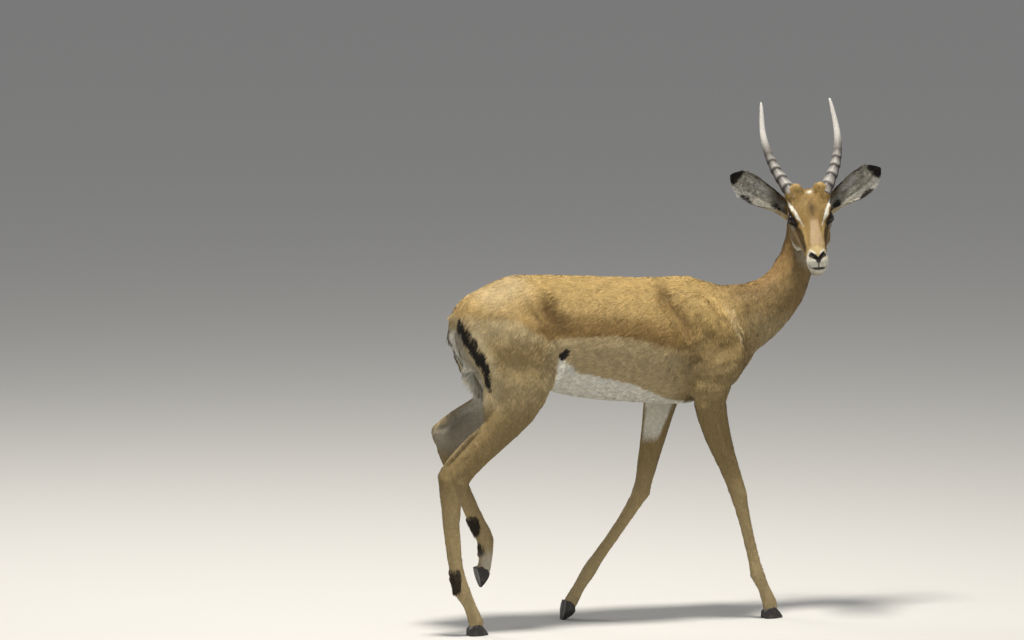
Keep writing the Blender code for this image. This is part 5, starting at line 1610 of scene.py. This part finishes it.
def buildLashes(settings):
    generator = np.random.default_rng(401)
    places = []
    ways = []
    normals = []
    for side in (-1, 1):
        centre, outward, long, high = eyeFrame(side)
        for _ in range(settings["count"]):
            angle = math.radians(generator.uniform(12, 168))
            u = math.cos(angle) * eyeOpening["halfLength"] * 1.02
            v = math.sin(angle) ** 0.8 * eyeOpening["halfHeight"] * 1.06
            radius = headSettings["eyeRadius"] + eyeOpening["lid"] * 0.8
            forward = math.sqrt(max(radius ** 2 - u ** 2 - v ** 2, 1e-6))
            places.append(centre + long * u + high * v + outward * forward)
            ways.append(outward * 0.9 + high * 0.55 - long * 0.25 + generator.normal(0, 0.12, 3))
            normals.append(high)
    places, ways, normals = np.array(places), unit(np.array(ways)), np.array(normals)
    normals = unit(normals - ways * np.sum(normals * ways, axis=1)[:, None])
    roots = {"place": places, "normal": normals, "uv": np.full((len(places), 2), 0.5)}
    colours = np.tile(np.array(tone["black"]), (len(places), 1))
    tuftPiece(settings, roots, ways, colours, generator)


buildLongHair()
buildEarHair()
buildLashes(lashes)
print("long hair made")

# floor, light and camera

stageSettings = {
    "floor": (0.56, 0.555, 0.54), "floorRadius": 40.0, "world": (0.97, 0.98, 1.0), "worldStrength": 0.34,
    # name, place, aim, size, power, colour
    "lamps": [("sunSoft", (-0.4, -0.7, 5.6), (0.0, 0.0, 0.7), 0.9, 400.0, (1.0, 0.95, 0.86)),
              ("fill", (1.2, -5.0, 2.4), (0.0, 0.0, 0.7), 3.0, 30.0, (1.0, 0.98, 0.95)),
              ("rim", (-2.6, 3.0, 3.4), (0.0, 0.0, 0.8), 2.0, 60.0, (1.0, 0.96, 0.90))]}
# degrees and metres; span is the width seen where the animal stands
cameraSettings = {"azimuth": -22.0, "height": 6.0, "distance": 18.0, "span": 2.56, "right": -0.22,
                  "up": 0.765}


def addLamp(name, place, aim, size, power, colour):
    lamp = bpy.data.lights.new(name, "AREA")
    lamp.shape = "DISK"
    lamp.size = size
    lamp.energy = power
    lamp.color = colour
    made = bpy.data.objects.new(name, lamp)
    made.location = stand + Vector(place)
    made.rotation_euler = (stand + Vector(aim) - made.location).to_track_quat("-Z", "Y").to_euler()
    bpy.context.scene.collection.objects.link(made)


def buildStage(settings):
    bpy.ops.mesh.primitive_circle_add(vertices=96, radius=settings["floorRadius"], fill_type="NGON",
                                      location=(0, 0, 0))
    floor = bpy.context.object
    floor.name = "studioFloor"
    paleFloor = newMaterial("paleFloor", {
        "Base Color": (*settings["floor"], 1), "Roughness": 0.9, "Specular IOR Level": 0.1})
    floor.data.materials.append(paleFloor[0])
    world = bpy.data.worlds.new("studio")
    world.use_nodes = True
    background = world.node_tree.nodes["Background"]
    background.inputs["Color"].default_value = (*settings["world"], 1)
    background.inputs["Strength"].default_value = settings["worldStrength"]
    bpy.context.scene.world = world
    for lamp in settings["lamps"]:
        addLamp(*lamp)


def buildCamera(settings):
    azimuth = math.radians(settings["azimuth"])
    height = math.radians(settings["height"])
    rightward = Vector((math.cos(azimuth), math.sin(azimuth), 0))
    level = Vector((-math.sin(azimuth), math.cos(azimuth), 0))
    forward = level * math.cos(height) - Vector((0, 0, math.sin(height)))
    target = stand + rightward * settings["right"] + Vector((0, 0, settings["up"]))
    lens = bpy.data.cameras.new("camera")
    lens.sensor_width = 36.0
    lens.lens = lens.sensor_width * settings["distance"] / settings["span"]
    lens.clip_end = 200.0
    made = bpy.data.objects.new("camera", lens)
    made.location = target - forward * settings["distance"]
    made.rotation_euler = forward.to_track_quat("-Z", "Y").to_euler()
    bpy.context.scene.collection.objects.link(made)
    bpy.context.scene.camera = made


buildStage(stageSettings)
buildCamera(cameraSettings)
bpy.context.scene.view_settings.view_transform = "Standard"
